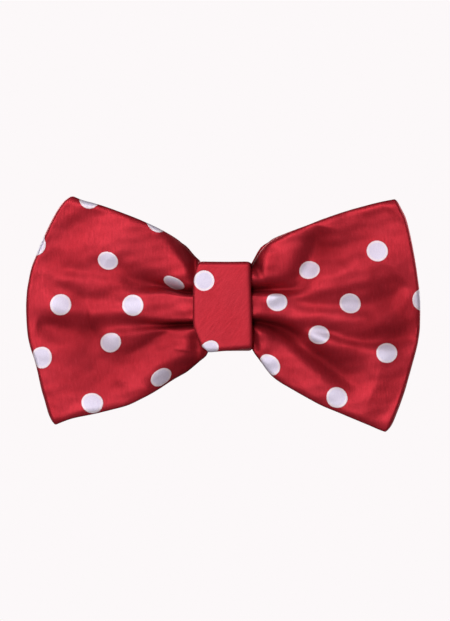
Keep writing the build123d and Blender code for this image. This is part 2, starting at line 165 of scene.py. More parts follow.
def blur(grid, reach, passes):
    """Box blur of a grid of vectors."""
    for _ in range(passes):
        for axis in (0, 1):
            margin = [(0, 0)] * 3
            margin[axis] = (reach, reach)
            padded = np.pad(grid, margin, mode="edge")
            total = np.zeros_like(grid)
            for i in range(2 * reach + 1):
                total += np.take(padded, np.arange(i, i + grid.shape[axis]), axis)
            grid = total / (2 * reach + 1)
    return grid


def edge_distance(grid):
    """Distance from each point to the nearer end of its row."""
    return np.minimum(np.abs(grid - grid[:, :1]), np.abs(grid - grid[:, -1:]))


# ------------------------------------------------------------------ meshes
def make_object(name, vertices, faces):
    mesh = bpy.data.meshes.new(name)
    points = (np.asarray(vertices) * MM).tolist()
    mesh.from_pydata(points, [], [list(map(int, face)) for face in faces])
    mesh.validate()
    mesh.update()
    mesh.polygons.foreach_set("use_smooth", [True] * len(mesh.polygons))
    obj = bpy.data.objects.new(name, mesh)
    bpy.context.scene.collection.objects.link(obj)
    return obj


def add_soft_piece(name, vertices, faces, node, slot):
    """A piece that moves with the bow, in place of a CAD node."""
    obj = make_object(name, vertices, faces)
    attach(obj, BODY)
    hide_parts(node)
    return obj


def put_attributes(obj, **grids):
    for name, values in grids.items():
        attribute = obj.data.attributes.new(name, "FLOAT", "POINT")
        attribute.data.foreach_set("value", np.asarray(values.reshape(-1), dtype=np.float32))


def ring_faces(rings, size):
    """Quads of a tube with the given number of rings of size points each, ends capped."""
    i = np.arange(rings - 1)[:, None]
    j = np.arange(size)[None, :]
    a = i * size + j
    b = i * size + (j + 1) % size
    quads = np.stack([a, b, b + size, a + size], -1).reshape(-1, 4)
    faces = [tuple(quad) for quad in quads]
    faces.append(tuple(range(size))[::-1])
    faces.append(tuple((rings - 1) * size + k for k in range(size)))
    return faces


def merge(parts):
    vertices, faces, offset = [], [], 0
    for part_vertices, part_faces in parts:
        vertices.append(part_vertices)
        faces += [tuple(i + offset for i in face) for face in part_faces]
        offset += len(part_vertices)
    return np.vstack(vertices), faces


# ------------------------------------------------------------------ outline, seen from the front
TOP = {  # (x, z) of the top edge, from the centre out
    LEFT: [
        (0, 12), (-1.6, 11.9), (-3, 11.42), (-4.4, 11.9), (-6.4, 12.2), (-7.1, 13.92),
        (-8.92, 15.6), (-10.75, 17.74), (-12.58, 19.57), (-14.41, 21.1), (-18.06, 23.25),
        (-21.72, 25.09), (-27.2, 27.54), (-32.68, 29.6), (-38.17, 31.36), (-42.43, 32.62),
        (-46.7, 33.96), (-61.93, 37.62),
    ],
    RIGHT: [
        (0, 12), (1.6, 11.9), (3, 11.42), (4.4, 11.9), (8, 12.1), (9.35, 14.1), (10.27, 15.63),
        (11.18, 17.3), (13.01, 19.43), (14.83, 20.87), (18.49, 22.52), (22.14, 23.91),
        (25.8, 25.15), (31.28, 27.24), (36.77, 29.1), (42.25, 30.66), (47.73, 32.03),
        (52.91, 32.87), (61.44, 33.72),
    ],
}
BOTTOM = {  # (x, z) of the bottom edge, from the centre out
    LEFT: [
        (0, -12), (-1.6, -11.9), (-3, -11.42), (-4, -11.9), (-5.27, -14.77), (-7.1, -16.64),
        (-8.92, -18.29), (-10.75, -19.82), (-12.58, -21.05), (-16.24, -23.42),
        (-19.89, -25.78), (-23.55, -27.83), (-29.03, -30.31), (-34.51, -31.77),
        (-39.99, -33.16), (-45.48, -34.32), (-50.96, -36), (-61.93, -39.96),
    ],
    RIGHT: [
        (0, -12), (1.6, -11.9), (3, -11.42), (4.4, -11.9), (8, -12.1), (9.35, -14.16),
        (11.18, -16.6), (13.01, -19.32), (14.83, -21.54), (16.66, -23.02), (20.32, -25.28),
        (23.97, -27.44), (29.45, -30.29), (34.94, -32.61), (40.42, -34.97), (45.9, -37.16),
        (50.17, -38.5), (61.44, -42.46),
    ],
}
TIP = {  # (x, z) of the fold at each wing tip, from the top down
    LEFT: [
        (-44.87, 35.49), (-46.72, 33.51), (-48.17, 31.83), (-50.47, 28.18), (-52.3, 24.52),
        (-54.57, 19.65), (-56.52, 15.38), (-58.08, 11.73), (-58.96, 8.07), (-59.56, 4.42),
        (-59.79, 0.15), (-59.66, -4.11), (-59.31, -8.38), (-58.53, -12.03), (-57.26, -15.69),
        (-56.19, -19.34), (-54.8, -24.82), (-53.67, -28.48), (-52.68, -32.14),
        (-51.54, -35.79), (-50.32, -40.66),
    ],
    RIGHT: [
        (51.08, 35.49), (52.76, 32.44), (53.64, 30), (55.19, 26.35), (56.23, 22.69),
        (57.1, 19.04), (57.85, 15.38), (58.51, 11.73), (59.04, 8.07), (59.5, 4.42),
        (59.77, 0.15), (59.68, -5.94), (59.14, -10.2), (58.24, -13.86), (57.13, -17.51),
        (55.96, -21.17), (54.79, -24.82), (53.43, -28.48), (52.09, -32.14), (50.81, -35.79),
        (49.68, -38.53), (48.16, -42.49),
    ],
}
TOP_Z = {side: pchip(*zip(*points)) for side, points in TOP.items()}
BOTTOM_Z = {side: pchip(*zip(*points)) for side, points in BOTTOM.items()}
TIP_X = {side: pchip(*zip(*[(z, x) for x, z in points])) for side, points in TIP.items()}

# ------------------------------------------------------------------ folds
# Each fold on the front of a wing is: the (x, z) points of its line; rows of (share of its length,
# depth, width A, width B); and how sharply walls A and B meet the line (1 is a crease, 2 is round).
# Where the line runs outwards, side A is above it and side B below.
FOLDS = {
    LEFT: [
        (  # crease between the top and middle pleats
            [(-5.9, 4.2), (-8.9, 4.2), (-11.4, 4.3), (-13.8, 4.8), (-16.2, 5.5), (-18.4, 6.1),
             (-20.8, 6.7), (-23.9, 7.4), (-26.9, 8.2), (-29.4, 9.9), (-31.8, 12.3), (-33.9, 14.8)],
            [(0, 4.82, 1.3, 0.5), (0.1, 4.7, 1.3, 0.5), (0.25, 4.1, 1.5, 0.6),
             (0.42, 2.9, 1.8, 1.2), (0.58, 2.1, 2.6, 2.2), (0.75, 1.5, 3.4, 3),
             (0.88, 1, 3.7, 4), (1, 0.36, 4.2, 4.1)],
            (1.3, 2),
        ),
        (  # thin line under it
            [(-10.1, 4.1), (-15.6, 5), (-21.7, 5.3), (-27.8, 5.2), (-33.3, 5)],
            [(0, -0.1, 0.9, 0.9), (0.25, 0.1, 0.9, 0.9), (0.7, 0.35, 0.9, 1.2),
             (1, 0.05, 1.2, 1.2)],
            (1.6, 1.6),
        ),
        (  # valley across the upper middle
            [(-27.2, 2.3), (-30.9, 1.8), (-35.1, 1.8), (-39.1, 1.8), (-43.1, 2.6), (-46.7, 4.5),
             (-50.6, 6.5), (-54.6, 8.1)],
            [(0, 0.48, 2.5, 2.7), (0.3, 1.12, 4.2, 2.6), (0.55, 1.24, 4.1, 3.3),
             (0.78, 1.05, 2.5, 3.6), (1, 0.26, 2.5, 3.2)],
            (1.4, 2),
        ),
        (  # slope into the top corner
            [(-50.4, 18.1), (-46.1, 22.1), (-40, 25.4), (-33.3, 27.6)],
            [(0, 0.3, 5, 3), (0.35, 0.9, 6, 3.4), (0.7, 0.7, 6, 3.4), (1, 0.1, 5, 3)],
            (1.8, 2),
        ),
        (  # shallow hollow below that
            [(-31.5, 12.9), (-35.7, 11.1), (-40.6, 10.9), (-45.2, 11.3), (-49.7, 12.1),
             (-54, 14.2)],
            [(0, 0.1, 3.5, 2.9), (0.3, 0.95, 4.6, 2.7), (0.6, 1.2, 5.6, 2.4),
             (0.85, 0.9, 6.5, 3), (1, 0.5, 6, 3.4)],
            (1.5, 2),
        ),
        (  # crease between the middle and bottom pleats, running out to the tip
            [(-5.9, -5.2), (-8.9, -5.3), (-13.2, -5.4), (-17.8, -5.5), (-22.3, -5.4),
             (-28.4, -5.5), (-34.5, -5.9), (-40.6, -6.8), (-46.7, -7.1), (-52.2, -5.9),
             (-56.4, -4.4)],
            [(0, 4.81, 0.55, 0.7), (0.08, 4.3, 0.55, 0.7), (0.2, 3.3, 0.6, 0.9),
             (0.32, 2, 0.9, 1.3), (0.45, 1.4, 1.9, 2.1), (0.58, 1.3, 3.1, 2.2),
             (0.72, 1.27, 3.2, 3.9), (0.86, 1.98, 3, 4.2), (0.95, 1.34, 2.5, 3.2),
             (1, 0.29, 2.7, 2.7)],
            (1.9, 1.8),
        ),
        (  # valley from under the middle pleat down the lower wing
            [(-8.9, -6.2), (-12.6, -6.9), (-15.9, -7.6), (-19.3, -9.2), (-22.4, -11.1),
             (-25.4, -12.9), (-28.4, -14.7), (-32.1, -16.8), (-36.3, -18.5)],
            [(0, 0.3, 1.4, 2.5), (0.2, 1.7, 1.6, 4.6), (0.4, 2.2, 2.6, 5.4),
             (0.6, 1.95, 3.9, 6.4), (0.8, 1.56, 5.1, 7.3), (1, -0.14, 4.2, 6.6)],
            (1.35, 2),
        ),
        (  # valley running down to the bottom edge
            [(-39.1, -9.6), (-38.2, -13.9), (-37.2, -18.1), (-35.7, -22.4), (-33.1, -26.4),
             (-30.2, -29.7)],
            [(0, 1.9, 7, 3.4), (0.25, 2.1, 10, 4), (0.55, 1.8, 10, 3.7), (0.8, 1.1, 6, 3.8),
             (1, 0.3, 5, 3.6)],
            (1.4, 1.9),
        ),
        (  # side of the top pleat, falling away towards the knot
            [(-8, 4.4), (-7.8, 9.3), (-8.5, 14.2), (-11.2, 18.6), (-14.4, 21.5), (-18.7, 23.9)],
            [(0, 0.12, 1.8, 1.7), (0.2, 2.49, 1.8, 1.8), (0.45, 3.6, 1.8, 2.5),
             (0.65, 3, 1.8, 3.1), (0.85, 1.34, 1.8, 3.4), (1, 0.16, 1.8, 3)],
            (2, 1.7),
        ),
        (  # side of the bottom pleat, falling away towards the knot
            [(-8, -6.8), (-7.3, -10.5), (-5.9, -13.9), (-8.3, -17.5), (-11.9, -20.4),
             (-16.9, -23.3), (-22.3, -26.4)],
            [(0, 0.67, 1.9, 1.8), (0.2, 3.1, 3.2, 1.8), (0.4, 3.4, 3.4, 1.8),
             (0.65, 2.48, 4.2, 1.8), (0.85, 1.51, 3.2, 1.8), (1, 0.09, 2.5, 1.8)],
            (1.7, 2),
        ),
    ],
    RIGHT: [
        (  # crease between the top and middle pleats
            [(5.7, 4.7), (8.7, 4.9), (11.8, 5), (15.7, 5), (19.7, 5.3), (23.1, 6.1), (26.1, 7.5)],
            [(0, 4.8, 1.3, 0.8), (0.15, 4.6, 1.4, 0.75), (0.35, 4, 1.8, 0.8), (0.55, 3, 2.2, 1),
             (0.75, 1.8, 2.8, 1.6), (0.9, 0.8, 3, 2), (1, 0.1, 3, 2)],
            (1.4, 1.8),
        ),
        (  # valley that carries it up towards the top edge
            [(19.4, 6.7), (22.4, 8.5), (25, 11.1), (27, 14.5), (28.1, 18.1), (28.8, 21.5),
             (29.5, 24.5)],
            [(0, 0.4, 2.6, 3), (0.2, 1.7, 3.2, 3.6), (0.45, 2.9, 3.6, 4.4), (0.7, 2.8, 3.6, 4.8),
             (0.88, 1.5, 3.4, 4.4), (1, 0.1, 3, 4)],
            (1.8, 1.7),
        ),
        (  # band under the diagonal swell
            [(16.1, 2.9), (20.9, 1.6), (29.4, 0.9), (37.1, 0.8), (42.2, 0.6), (46.5, 1.5),
             (50.8, 4), (55, 7.8)],
            [(0, -0.69, 2.5, 2.2), (0.2, 1.17, 2.6, 2.3), (0.4, 1.4, 3.3, 2.7),
             (0.62, 1.83, 6.2, 3.3), (0.8, 2.2, 6.3, 4.7), (0.93, 1.46, 7.3, 2.4),
             (1, 0.43, 4.8, 3.6)],
            (1.4, 2),
        ),
        (  # slope into the lower corner and the tip
            [(44.1, -37), (49.6, -30.9), (53.5, -23.6), (56.3, -15.7), (58.1, -7.2), (59, 2),
             (58.4, 10.5)],
            [(0, 0.05, 5, 2), (0.3, 0.5, 7, 2), (0.6, 0.6, 6, 2), (0.85, 0.7, 5, 2),
             (1, 0.2, 4, 2)],
            (1.8, 2),
        ),
        (  # thin line above that band
            [(20.9, 5), (27, 4.7), (33.1, 5.5), (38.6, 6.6), (43.5, 7.8)],
            [(0, 0.21, 1.2, 1.2), (0.3, -0.11, 1.2, 1.2), (0.7, -0.05, 1.5, 1.2),
             (1, -0.15, 1.5, 1.2)],
            (1.5, 1.8),
        ),
        (  # broad hollow in the upper wing
            [(28.9, 11.1), (32.5, 13.3), (37.3, 17.3), (42.4, 21.4), (47.1, 26.4), (49.6, 30)],
            [(0, -0.59, 6.4, 3.1), (0.3, 1.61, 5.3, 3.5), (0.6, 1.7, 8.1, 6.8),
             (0.85, 0.73, 8.5, 8.8), (1, 0.07, 5.5, 4.7)],
            (1.5, 2),
        ),
        (  # crease between the middle and bottom pleats
            [(5.7, -4.4), (8.7, -4.7), (11.8, -5), (15.7, -5.8), (19.4, -7), (22.8, -8.7),
             (25.8, -10.8)],
            [(0, 4.8, 1, 0.9), (0.15, 4.6, 1, 1), (0.35, 4.2, 1.2, 1.5), (0.55, 3.8, 1.6, 2.8),
             (0.75, 2.9, 1.9, 3.2), (0.9, 1.5, 2.1, 3.2), (1, 0.4, 2.2, 3.2)],
            (1.8, 1.5),
        ),
        (  # valley it opens into, down the lower wing
            [(17, -7.5), (20.6, -9.6), (24.3, -12), (27.9, -14.5), (31.6, -17.1), (35.5, -20),
             (40.1, -22.7), (45.3, -24.8)],
            [(0, 0.2, 2, 1.6), (0.13, 1, 2.3, 2), (0.3, 2.4, 2.5, 2.6), (0.47, 3.1, 3, 3),
             (0.62, 3, 4.6, 3.2), (0.76, 2.4, 6.4, 3.6), (0.88, 1.2, 7.4, 4.2),
             (1, 0.1, 7.4, 4.6)],
            (1.8, 1.7),
        ),
        (  # valley under the middle ridge, out to the tip
            [(25.8, -6.2), (29.5, -6.7), (33.1, -7.6), (36.8, -8.8), (40.4, -9.7), (44.7, -9.9),
             (50.2, -9.1), (55, -8.4), (58.7, -7.8)],
            [(0, 0.85, 2.1, 1.7), (0.2, 1.54, 2.2, 2), (0.4, 1.4, 3.4, 1.9),
             (0.58, 1.8, 4.8, 2.1), (0.76, 2.5, 5.2, 3), (0.9, 2.14, 6.6, 3.2),
             (1, 1.07, 5, 3)],
            (1.4, 2),
        ),
        (  # tuck beside the knot at the top
            [(8.1, 15.4), (9.9, 12.3), (11.1, 9.6), (12.1, 6.8)],
            [(0, 2.6, 1.2, 1.6), (0.4, 1.9, 1, 1.3), (0.8, 0.44, 0.8, 1.2), (1, -0.2, 0.9, 1.2)],
            (1.5, 1.5),
        ),
        (  # the top pleat's edge beside the knot
            [(8.8, 13.6), (10.9, 17.2), (13, 19.7), (16.1, 21.5)],
            [(0, 2.93, 1.5, 1.9), (0.5, 1.67, 1.5, 1.5), (1, 0.71, 1.5, 1.5)],
            (2, 1.6),
        ),
        (  # tuck beside the knot at the bottom
            [(8.3, -5.9), (9, -8.6), (9.4, -11.4), (10.2, -14.4)],
            [(0, 1.2, 1, 1.2), (0.35, 2.2, 0.9, 1.2), (0.7, 1.8, 0.9, 1.2), (1, 0.3, 0.9, 1.2)],
            (1.4, 1.8),
        ),
    ],
}
FOLD_SAMPLES = 90
FOLD_CAP = 6.0  # overlapping folds never add up to more than this
SIDE_BLEND = 0.35  # distance over which side A passes into side B
LINE_SOFTNESS = 0.25  # rounding at the very bottom of a fold
SHADOW_SPREAD = 1.35  # how much wider a fold's shadow is than the fold


def fold_relief(side, x, z):
    """How far a wing's folds set the cloth back at (x, z), and the same for wider folds, as shade."""
    relief = np.zeros_like(x)
    shadow = np.zeros_like(x)
    share = np.linspace(0, 1, FOLD_SAMPLES)
    for points, profile, (power_a, power_b) in FOLDS[side]:
        line = smooth_line(points, FOLD_SAMPLES)
        tangent = np.gradient(line, axis=0)
        lengths = np.linalg.norm(tangent, axis=1)
        step = lengths.mean()
        tangent /= lengths[:, None]
        profile = np.asarray(profile, float)
        stations = [pchip(profile[:, 0], column)(share) for column in profile[:, 1:].T]
        reach = 4.0 * profile[:, 2:].max()
        low = line.min(0) - reach
        high = line.max(0) + reach
        near = (x > low[0]) & (x < high[0]) & (z > low[1]) & (z < high[1])
        offset_x = x[near][:, None] - line[None, :, 0]
        offset_z = z[near][:, None] - line[None, :, 1]
        i = np.argmin(offset_x * offset_x + offset_z * offset_z, axis=1)
        row = np.arange(len(i))
        offset_x = offset_x[row, i]
        offset_z = offset_z[row, i]
        along = offset_x * tangent[i, 0] + offset_z * tangent[i, 1]
        across = -offset_x * tangent[i, 1] + offset_z * tangent[i, 0]
        beyond = np.maximum(np.abs(along) - 0.5 * step, 0)
        within = np.clip(along, -0.5 * step, 0.5 * step) / step
        place = np.clip(i + within, 0, FOLD_SAMPLES - 1)
        depth, width_a, width_b = (np.interp(place, np.arange(FOLD_SAMPLES), s) for s in stations)
        a_share = 0.5 + 0.5 * np.tanh(side * across / SIDE_BLEND)
        width = width_b + (width_a - width_b) * a_share
        power = power_b + (power_a - power_b) * a_share
        away = np.sqrt(across * across + beyond * beyond)
        q = (np.sqrt(away * away + LINE_SOFTNESS * LINE_SOFTNESS) - LINE_SOFTNESS) / width
        relief[near] += depth * np.exp(-(q**power))
        shadow[near] += depth * np.exp(-((q / SHADOW_SPREAD) ** power))
    return relief, shadow


# ------------------------------------------------------------------ plan of the loop, from above
# (|x|, y) of the outer face on one side, from the centre back round the tip to the centre front
PLAN = [
    (0.3, -1.5), (5, -1.5), (9, -1.7), (14, -2.1), (22, -2.2), (32, -2.3), (42, -3.2),
    (50, -5.2), (55.5, -7.9), (58.8, -10.6), (60, -13), (59.97, -14.5), (59.6, -15.45),
    (58.5, -15.85), (54, -15.95), (48, -16), (40, -15.9), (30, -15.8), (22, -15.2),
    (14, -14.3), (9, -13.8), (5, -13.7), (0, -13.7),
]
# (|z|, y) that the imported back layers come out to, above and below the clip's bar
PACKED_BACK = [
    (4.6, -1.6), (5.6, -0.6), (6.4, -0.42), (7.2, -0.68), (8, -0.84), (9.6, -1.05), (10.9, -1.6),
]


def plan_stations(count):
    """The dense plan line, length along it, and count stations, denser in front and at the fold."""
    plan = smooth_line(PLAN, 4000)
    steps = np.linalg.norm(np.diff(plan, axis=0), axis=1)
    along = running_length(plan)
    back = plan[:, 1] > -12.0
    density = np.where(back, 0.55, 1.0)
    density = np.where(np.hypot(plan[:, 0] - 59, plan[:, 1] + 13.4) < 5, 1.6, density)
    density = np.where((~back) & (plan[:, 0] < 16), 1.35, density)
    weighted = np.cumsum(steps * 0.5 * (density[1:] + density[:-1]))
    weighted = np.concatenate([[0], weighted])
    return plan, along, np.interp(np.linspace(0, weighted[-1], count), weighted, along)


def wing_grid(side, plan, along, stations, across):
    """One wing's outer face, fitted to the outline, from the centre back to the centre front."""
    plan_x, y = resample(plan, along, stations).T
    plan_x = np.repeat(plan_x[:, None], len(across), axis=1)
    y = np.repeat(y[:, None], len(across), axis=1)
    front = smoothstep(-12.0, -14.4, y)  # 1 on the front layer, 0 on the back layer
    # the cloth's edge thickness lies inside the outline, and the back layer hides behind the front
    grow = -0.28 - 0.7 * (1 - front)
    grow = grow * smoothstep(11, 16, plan_x) * smoothstep(HALF_SPAN, 52, plan_x)
    outward = np.clip((plan_x - ROOT_X) / (HALF_SPAN - ROOT_X), 0, 1.2)
    x = side * plan_x
    for _ in range(12):  # height depends on x and the tip's x on height, so settle them in turns
        top = TOP_Z[side](x) + grow
        bottom = BOTTOM_Z[side](x) - grow
        z = bottom + (top - bottom) * (across[None, :] + 1) / 2
        tip = np.abs(TIP_X[side](z))
        x = side * np.where(plan_x > ROOT_X, ROOT_X + outward * (tip - ROOT_X), plan_x)
    u = side * (along[-1] - stations)[:, None] * (np.abs(x) + 8) / (plan_x + 8)
    return dict(x=x, y=y, z=z, u=u, front=front, side=np.full_like(x, side))


def loop_grid(count, across):
    """Outer face of the whole loop, centre back to centre back: positions, fabric u and layer."""
    stations = plan_stations(count)
    right = wing_grid(RIGHT, *stations, across)
    left = wing_grid(LEFT, *stations, across)
    return {key: np.vstack([right[key], left[key][::-1][1:]]) for key in right}


def surface_depth(grid, across):
    """Y of the outer face, and how much painted shade the folds and gathers put on each point."""
    x, z, front = grid["x"], grid["z"], grid["front"]
    out = np.abs(x)
    rim = np.abs(across)[None, :]
    relief = np.zeros_like(x)
    shadow = np.zeros_like(x)
    for side in (RIGHT, LEFT):
        wing = (grid["side"] == side) & (front > 0)
        relief[wing], shadow[wing] = fold_relief(side, x[wing], z[wing])
    relief = FOLD_CAP * np.tanh(relief / FOLD_CAP)
    relief *= smoothstep(3.4, 7.6, out)  # packed tight inside the knot
    # painted shade from the widened folds, much darker where it runs deeper than 1.6, on the front
    # layer only
    low = np.clip(FOLD_CAP * np.tanh(shadow / FOLD_CAP) - 0.6, 0, None)
    hollow = (low + 4.5 * np.clip(low - 1.6, 0, None) ** 1.5) * front

    # cloth pinched at the knot stands forward between creases and rolls back at its long edges
    pinch = np.exp(-(((out - 8.0).clip(0)) / 9.0) ** 1.5)
    crown = -2.3 * pinch
    edge = np.clip((rim - 0.55) / 0.45, 0, 1)
    roll = 1.6 * pinch * (1 - np.sqrt(np.clip(1 - edge**2, 0, 1)))
    soft_roll = 0.35 * (1 - pinch) * np.clip((rim - 0.92) / 0.08, 0, 1) ** 2
    swell = -0.9 * (1 - rim**2) * smoothstep(12, 36, out) * smoothstep(HALF_SPAN, 44, out)
    packed = 1 - smoothstep(5.2, 8.8, out)
    groove = np.exp(-(((out - BINDING_X) / 0.8) ** 2))
    roll *= 1 - packed
    forward = packed * (1.26 - 1.16 * groove)
    y = grid["y"] + front * (relief + crown + roll + soft_roll + swell - forward)

    # gathers of the back layer, fading outwards, with painted shade in their troughs, then its broad
    # unevenness
    back = 1 - front
    fan = np.cos(2 * pi * 1.45 * across[None, :])
    fade = np.exp(-(((out - 9.0).clip(0)) / 16.0) ** 1.3) * (1 - 0.85 * packed)
    hollow = hollow + back * fade * (1.6 - 1.6 * fan)
    rim_drop = 0.5 * np.clip((rim - 0.8) / 0.2, 0, 1) ** 2
    y += back * (fade * (-0.9 + 0.9 * fan) - rim_drop - 0.8 * fade * edge**2)
    y += back * 0.35 * waves(x / 9, z / 9, seed=5, low=0.2, high=0.8) * smoothstep(12, 30, out)
    # fine unevenness everywhere, stronger close to the knot
    y += 0.10 * waves(x / 4.2, z / 3.0, seed=3, low=0.15, high=0.9) * (0.5 + 0.8 * pinch)

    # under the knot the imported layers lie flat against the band's front, clear of the binding,
    # and fill the band's back above and below the clip's bar
    clear = 1 - np.exp(-(((out - BINDING_X) / 0.95) ** 4))
    lower_left = np.where(x > 0, 1.0, smoothstep(-10.0, -7.0, z))
    under = 1 - smoothstep(6.2, 8.4, out)
    inside_rim = smoothstep(1.0, 0.94, rim)
    y += (front > 0.5) * clear * lower_left * under * inside_rim * (PACKED_FRONT - y)
    stand = np.interp(np.abs(z), *zip(*PACKED_BACK))
    beside = smoothstep(3.9, 4.7, out) * (1 - smoothstep(6.4, 8.4, out))
    y += (front < 0.5) * beside * (stand - y).clip(0)
    return y, hollow


# ------------------------------------------------------------------ drape
DRAPE_UNIT = 0.02  # simulation units to the millimetre: the 120 mm bow is 2.4 units wide
DRAPE_GRID = (97, 33)  # rows and columns simulated
DRAPE_FRAMES = range(1, 27)
CLOTH_SETTINGS = {
    "quality": 6,
    "mass": 0.25,
    "air_damping": 2.0,
    "tension_stiffness": 18.0,
    "compression_stiffness": 18.0,
    "shear_stiffness": 6.0,
    "bending_stiffness": 0.6,
    "tension_damping": 10.0,
    "compression_damping": 10.0,
    "shear_damping": 10.0,
    "vertex_group_mass": "held",
    "pin_stiffness": 1.0,
    "shrink_min": -0.035,
    "use_pressure": True,
    "uniform_pressure_force": 0.6,
}


def refine(values, kept, count, axis):
    """Fill in an axis of which only the kept stations are known."""
    return np.apply_along_axis(lambda v: np.interp(np.arange(count), kept, v), axis, values)


def drape(outer, front):
    """Displacement of each point as the slack satin settles, from a cloth simulation of the outer
    face held at the binding and, more loosely, at the rims, the tips and all over the front."""
    rows = pick(0, outer.shape[0] - 1, DRAPE_GRID[0])
    columns = pick(0, outer.shape[1] - 1, DRAPE_GRID[1])
    start = outer[rows][:, columns]
    front = front[rows][:, columns]
    row_count, column_count = front.shape
    index = np.arange(front.size).reshape(front.shape)
    corners = [index[:-1, :-1], index[1:, :-1], index[1:, 1:], index[:-1, 1:]]
    mesh = bpy.data.meshes.new("drape")
    quads = np.stack(corners, -1).reshape(-1, 4).tolist()
    mesh.from_pydata((start.reshape(-1, 3) * DRAPE_UNIT).tolist(), [], quads)
    mesh.update()
    sheet = bpy.data.objects.new("drape", mesh)
    bpy.context.scene.collection.objects.link(sheet)

    out = np.abs(start[:, :, 0])
    rim = np.abs(np.linspace(-1, 1, column_count))[None, :]
    hold = np.maximum(smoothstep(15, 10, out), 0.35 * smoothstep(0.8, 1.0, rim))
    hold = np.maximum(hold, 0.35 * smoothstep(54, 59, out))
    hold = np.maximum(np.maximum(hold, 0.10), 0.22 * front)
    group = sheet.vertex_groups.new(name="held")
    for i, weight in enumerate(hold.reshape(-1)):
        group.add([i], float(weight), "REPLACE")

    cloth = sheet.modifiers.new("cloth", "CLOTH")
    for name, value in CLOTH_SETTINGS.items():
        setattr(cloth.settings, name, value)
    cloth.settings.effector_weights.gravity = 0.0
    cloth.collision_settings.use_collision = False
    cloth.collision_settings.use_self_collision = False
    cloth.point_cache.frame_start = DRAPE_FRAMES[0]
    cloth.point_cache.frame_end = DRAPE_FRAMES[-1]
    scene = bpy.context.scene
    first_frame = scene.frame_current
    for number in DRAPE_FRAMES:
        scene.frame_set(number)
    settled = sheet.evaluated_get(bpy.context.evaluated_depsgraph_get())
    points = np.empty(start.size, np.float32)
    settled.data.vertices.foreach_get("co", points)
    scene.frame_set(first_frame)
    bpy.data.objects.remove(sheet)
    bpy.data.meshes.remove(mesh)

    move = points.reshape(row_count, column_count, 3) / DRAPE_UNIT - start
    move = blur(move, reach=1, passes=1)
    most = (1.4 - 1.18 * front)[:, :, None]  # the front moves least
    move = most * np.tanh(move / most)
    move = refine(move, rows, outer.shape[0], axis=0)
    move = refine(move, columns, outer.shape[1], axis=1)
    move = blur(move, reach=2, passes=2)
    # the outline stays where the pressed edges are
    move[:, :, 0] *= smoothstep(HALF_SPAN, 52, np.abs(outer[:, :, 0]))
    move[:, :, 2] *= 1 - smoothstep(0.55, 1.0, np.abs(np.linspace(-1, 1, outer.shape[1])))
    return move


# ------------------------------------------------------------------ dots
# (x, z) of each dot on the front; a dot on a slope also has (narrowing, its angle in degrees)
FRONT_DOTS = [
    (-40.51, 32.77), (-20.41, 26.04), (-34.75, 13.74, 1.22, -28), (-55.68, 18.43),
    (-14.83, 6.79, 1.3, -17), (-49.04, 0.49), (-27.2, 0.3), (-33.9, -10.81, 1.1, 25),
    (-54.92, -15.38), (-39.69, -29.24), (-18.67, -21.35, 1.18, 8),
    (26.07, 10.94, 1.18, 15), (46.45, 16.6), (16.2, 1.37, 1.12, -10), (38.29, 0.97, 1.08, -20),
    (59.61, 1.98), (29, -8.53, 1.1, -30), (49.31, -13.68), (14.07, -17.67), (34.33, -27.41),
]
KNOT_DOTS = [(-5.82, 7.83), (-4.29, -12.7, 1.25, -35)]  # the upper and the lower, same columns
KNOT_DOT_DRIFT = 0.9  # sideways step of each further dot round the band


def dot_distance(u, v, dots):
    """Distance to the centre of the nearest dot."""
    best = np.full(u.shape, FAR)
    for dot_u, dot_v, *slope in dots:
        du = u - dot_u
        dv = v - dot_v
        if slope:
            factor, angle = slope
            c = cos(radians(angle))
            s = sin(radians(angle))
            du, dv = du * c + dv * s, (dv * c - du * s) * factor
        best = np.minimum(best, np.hypot(du, dv))
    return best


def lattice(columns, rows, shift_x, shift_z, squash=1.0):
    """Staggered rows of dots."""
    return [
        (DOT_PITCH * (i + 0.5 * (j % 2)) + shift_x, ROW_PITCH * j * squash + shift_z)
        for i in columns
        for j in rows
    ]


def clear_of_tip(x, z):
    return abs(x) < abs(float(TIP_X[RIGHT if x > 0 else LEFT](z))) - 5.0


BACK_DOTS = lattice(range(-4, 5), range(-2, 3), shift_x=4.0, shift_z=3.0, squash=0.92)
BACK_DOTS = [dot for dot in BACK_DOTS if clear_of_tip(*dot)]
INNER_DOTS = lattice(range(-14, 15), range(-3, 4), shift_x=-3.0, shift_z=7.0)


# ------------------------------------------------------------------ bow loop and its interlining
def fabric_height(outer, grid):
    """Fabric v: on the front, length across the loop over the folds; on the back, height."""
    z = grid["z"]
    steps = np.sqrt(np.diff(z, axis=1) ** 2 + np.diff(outer[:, :, 1], axis=1) ** 2)
    v = np.concatenate([np.zeros((len(z), 1)), np.cumsum(steps, axis=1)], 1)
    middle = np.array([np.interp(0.0, z[k], v[k]) for k in range(len(z))])
    return np.where(grid["front"] > 0.5, v - middle[:, None], z)


def place_front_dots(outer, grid, v):
    """Front dots in fabric coordinates, with any slope kept, and their points on the surface."""
    dots, points = [], []
    for x, z, *slope in FRONT_DOTS:
        away = np.hypot(grid["x"] - x, grid["z"] - z)
        away = np.where(grid["front"] > 0.9, away, 1e9)
        k = np.unravel_index(np.argmin(away), away.shape)
        dots.append((grid["u"][k] + x - grid["x"][k], v[k] + z - grid["z"][k], *slope))
        points.append(outer[k])
    return dots, points


def furthest_back(y):
    """Largest Y among each point's neighbours, two away in each direction."""
    padded = np.pad(y, 2, mode="edge")
    deepest = y.copy()
    for i in range(5):
        for j in range(5):
            deepest = np.maximum(deepest, padded[i : i + y.shape[0], j : j + y.shape[1]])
    return deepest


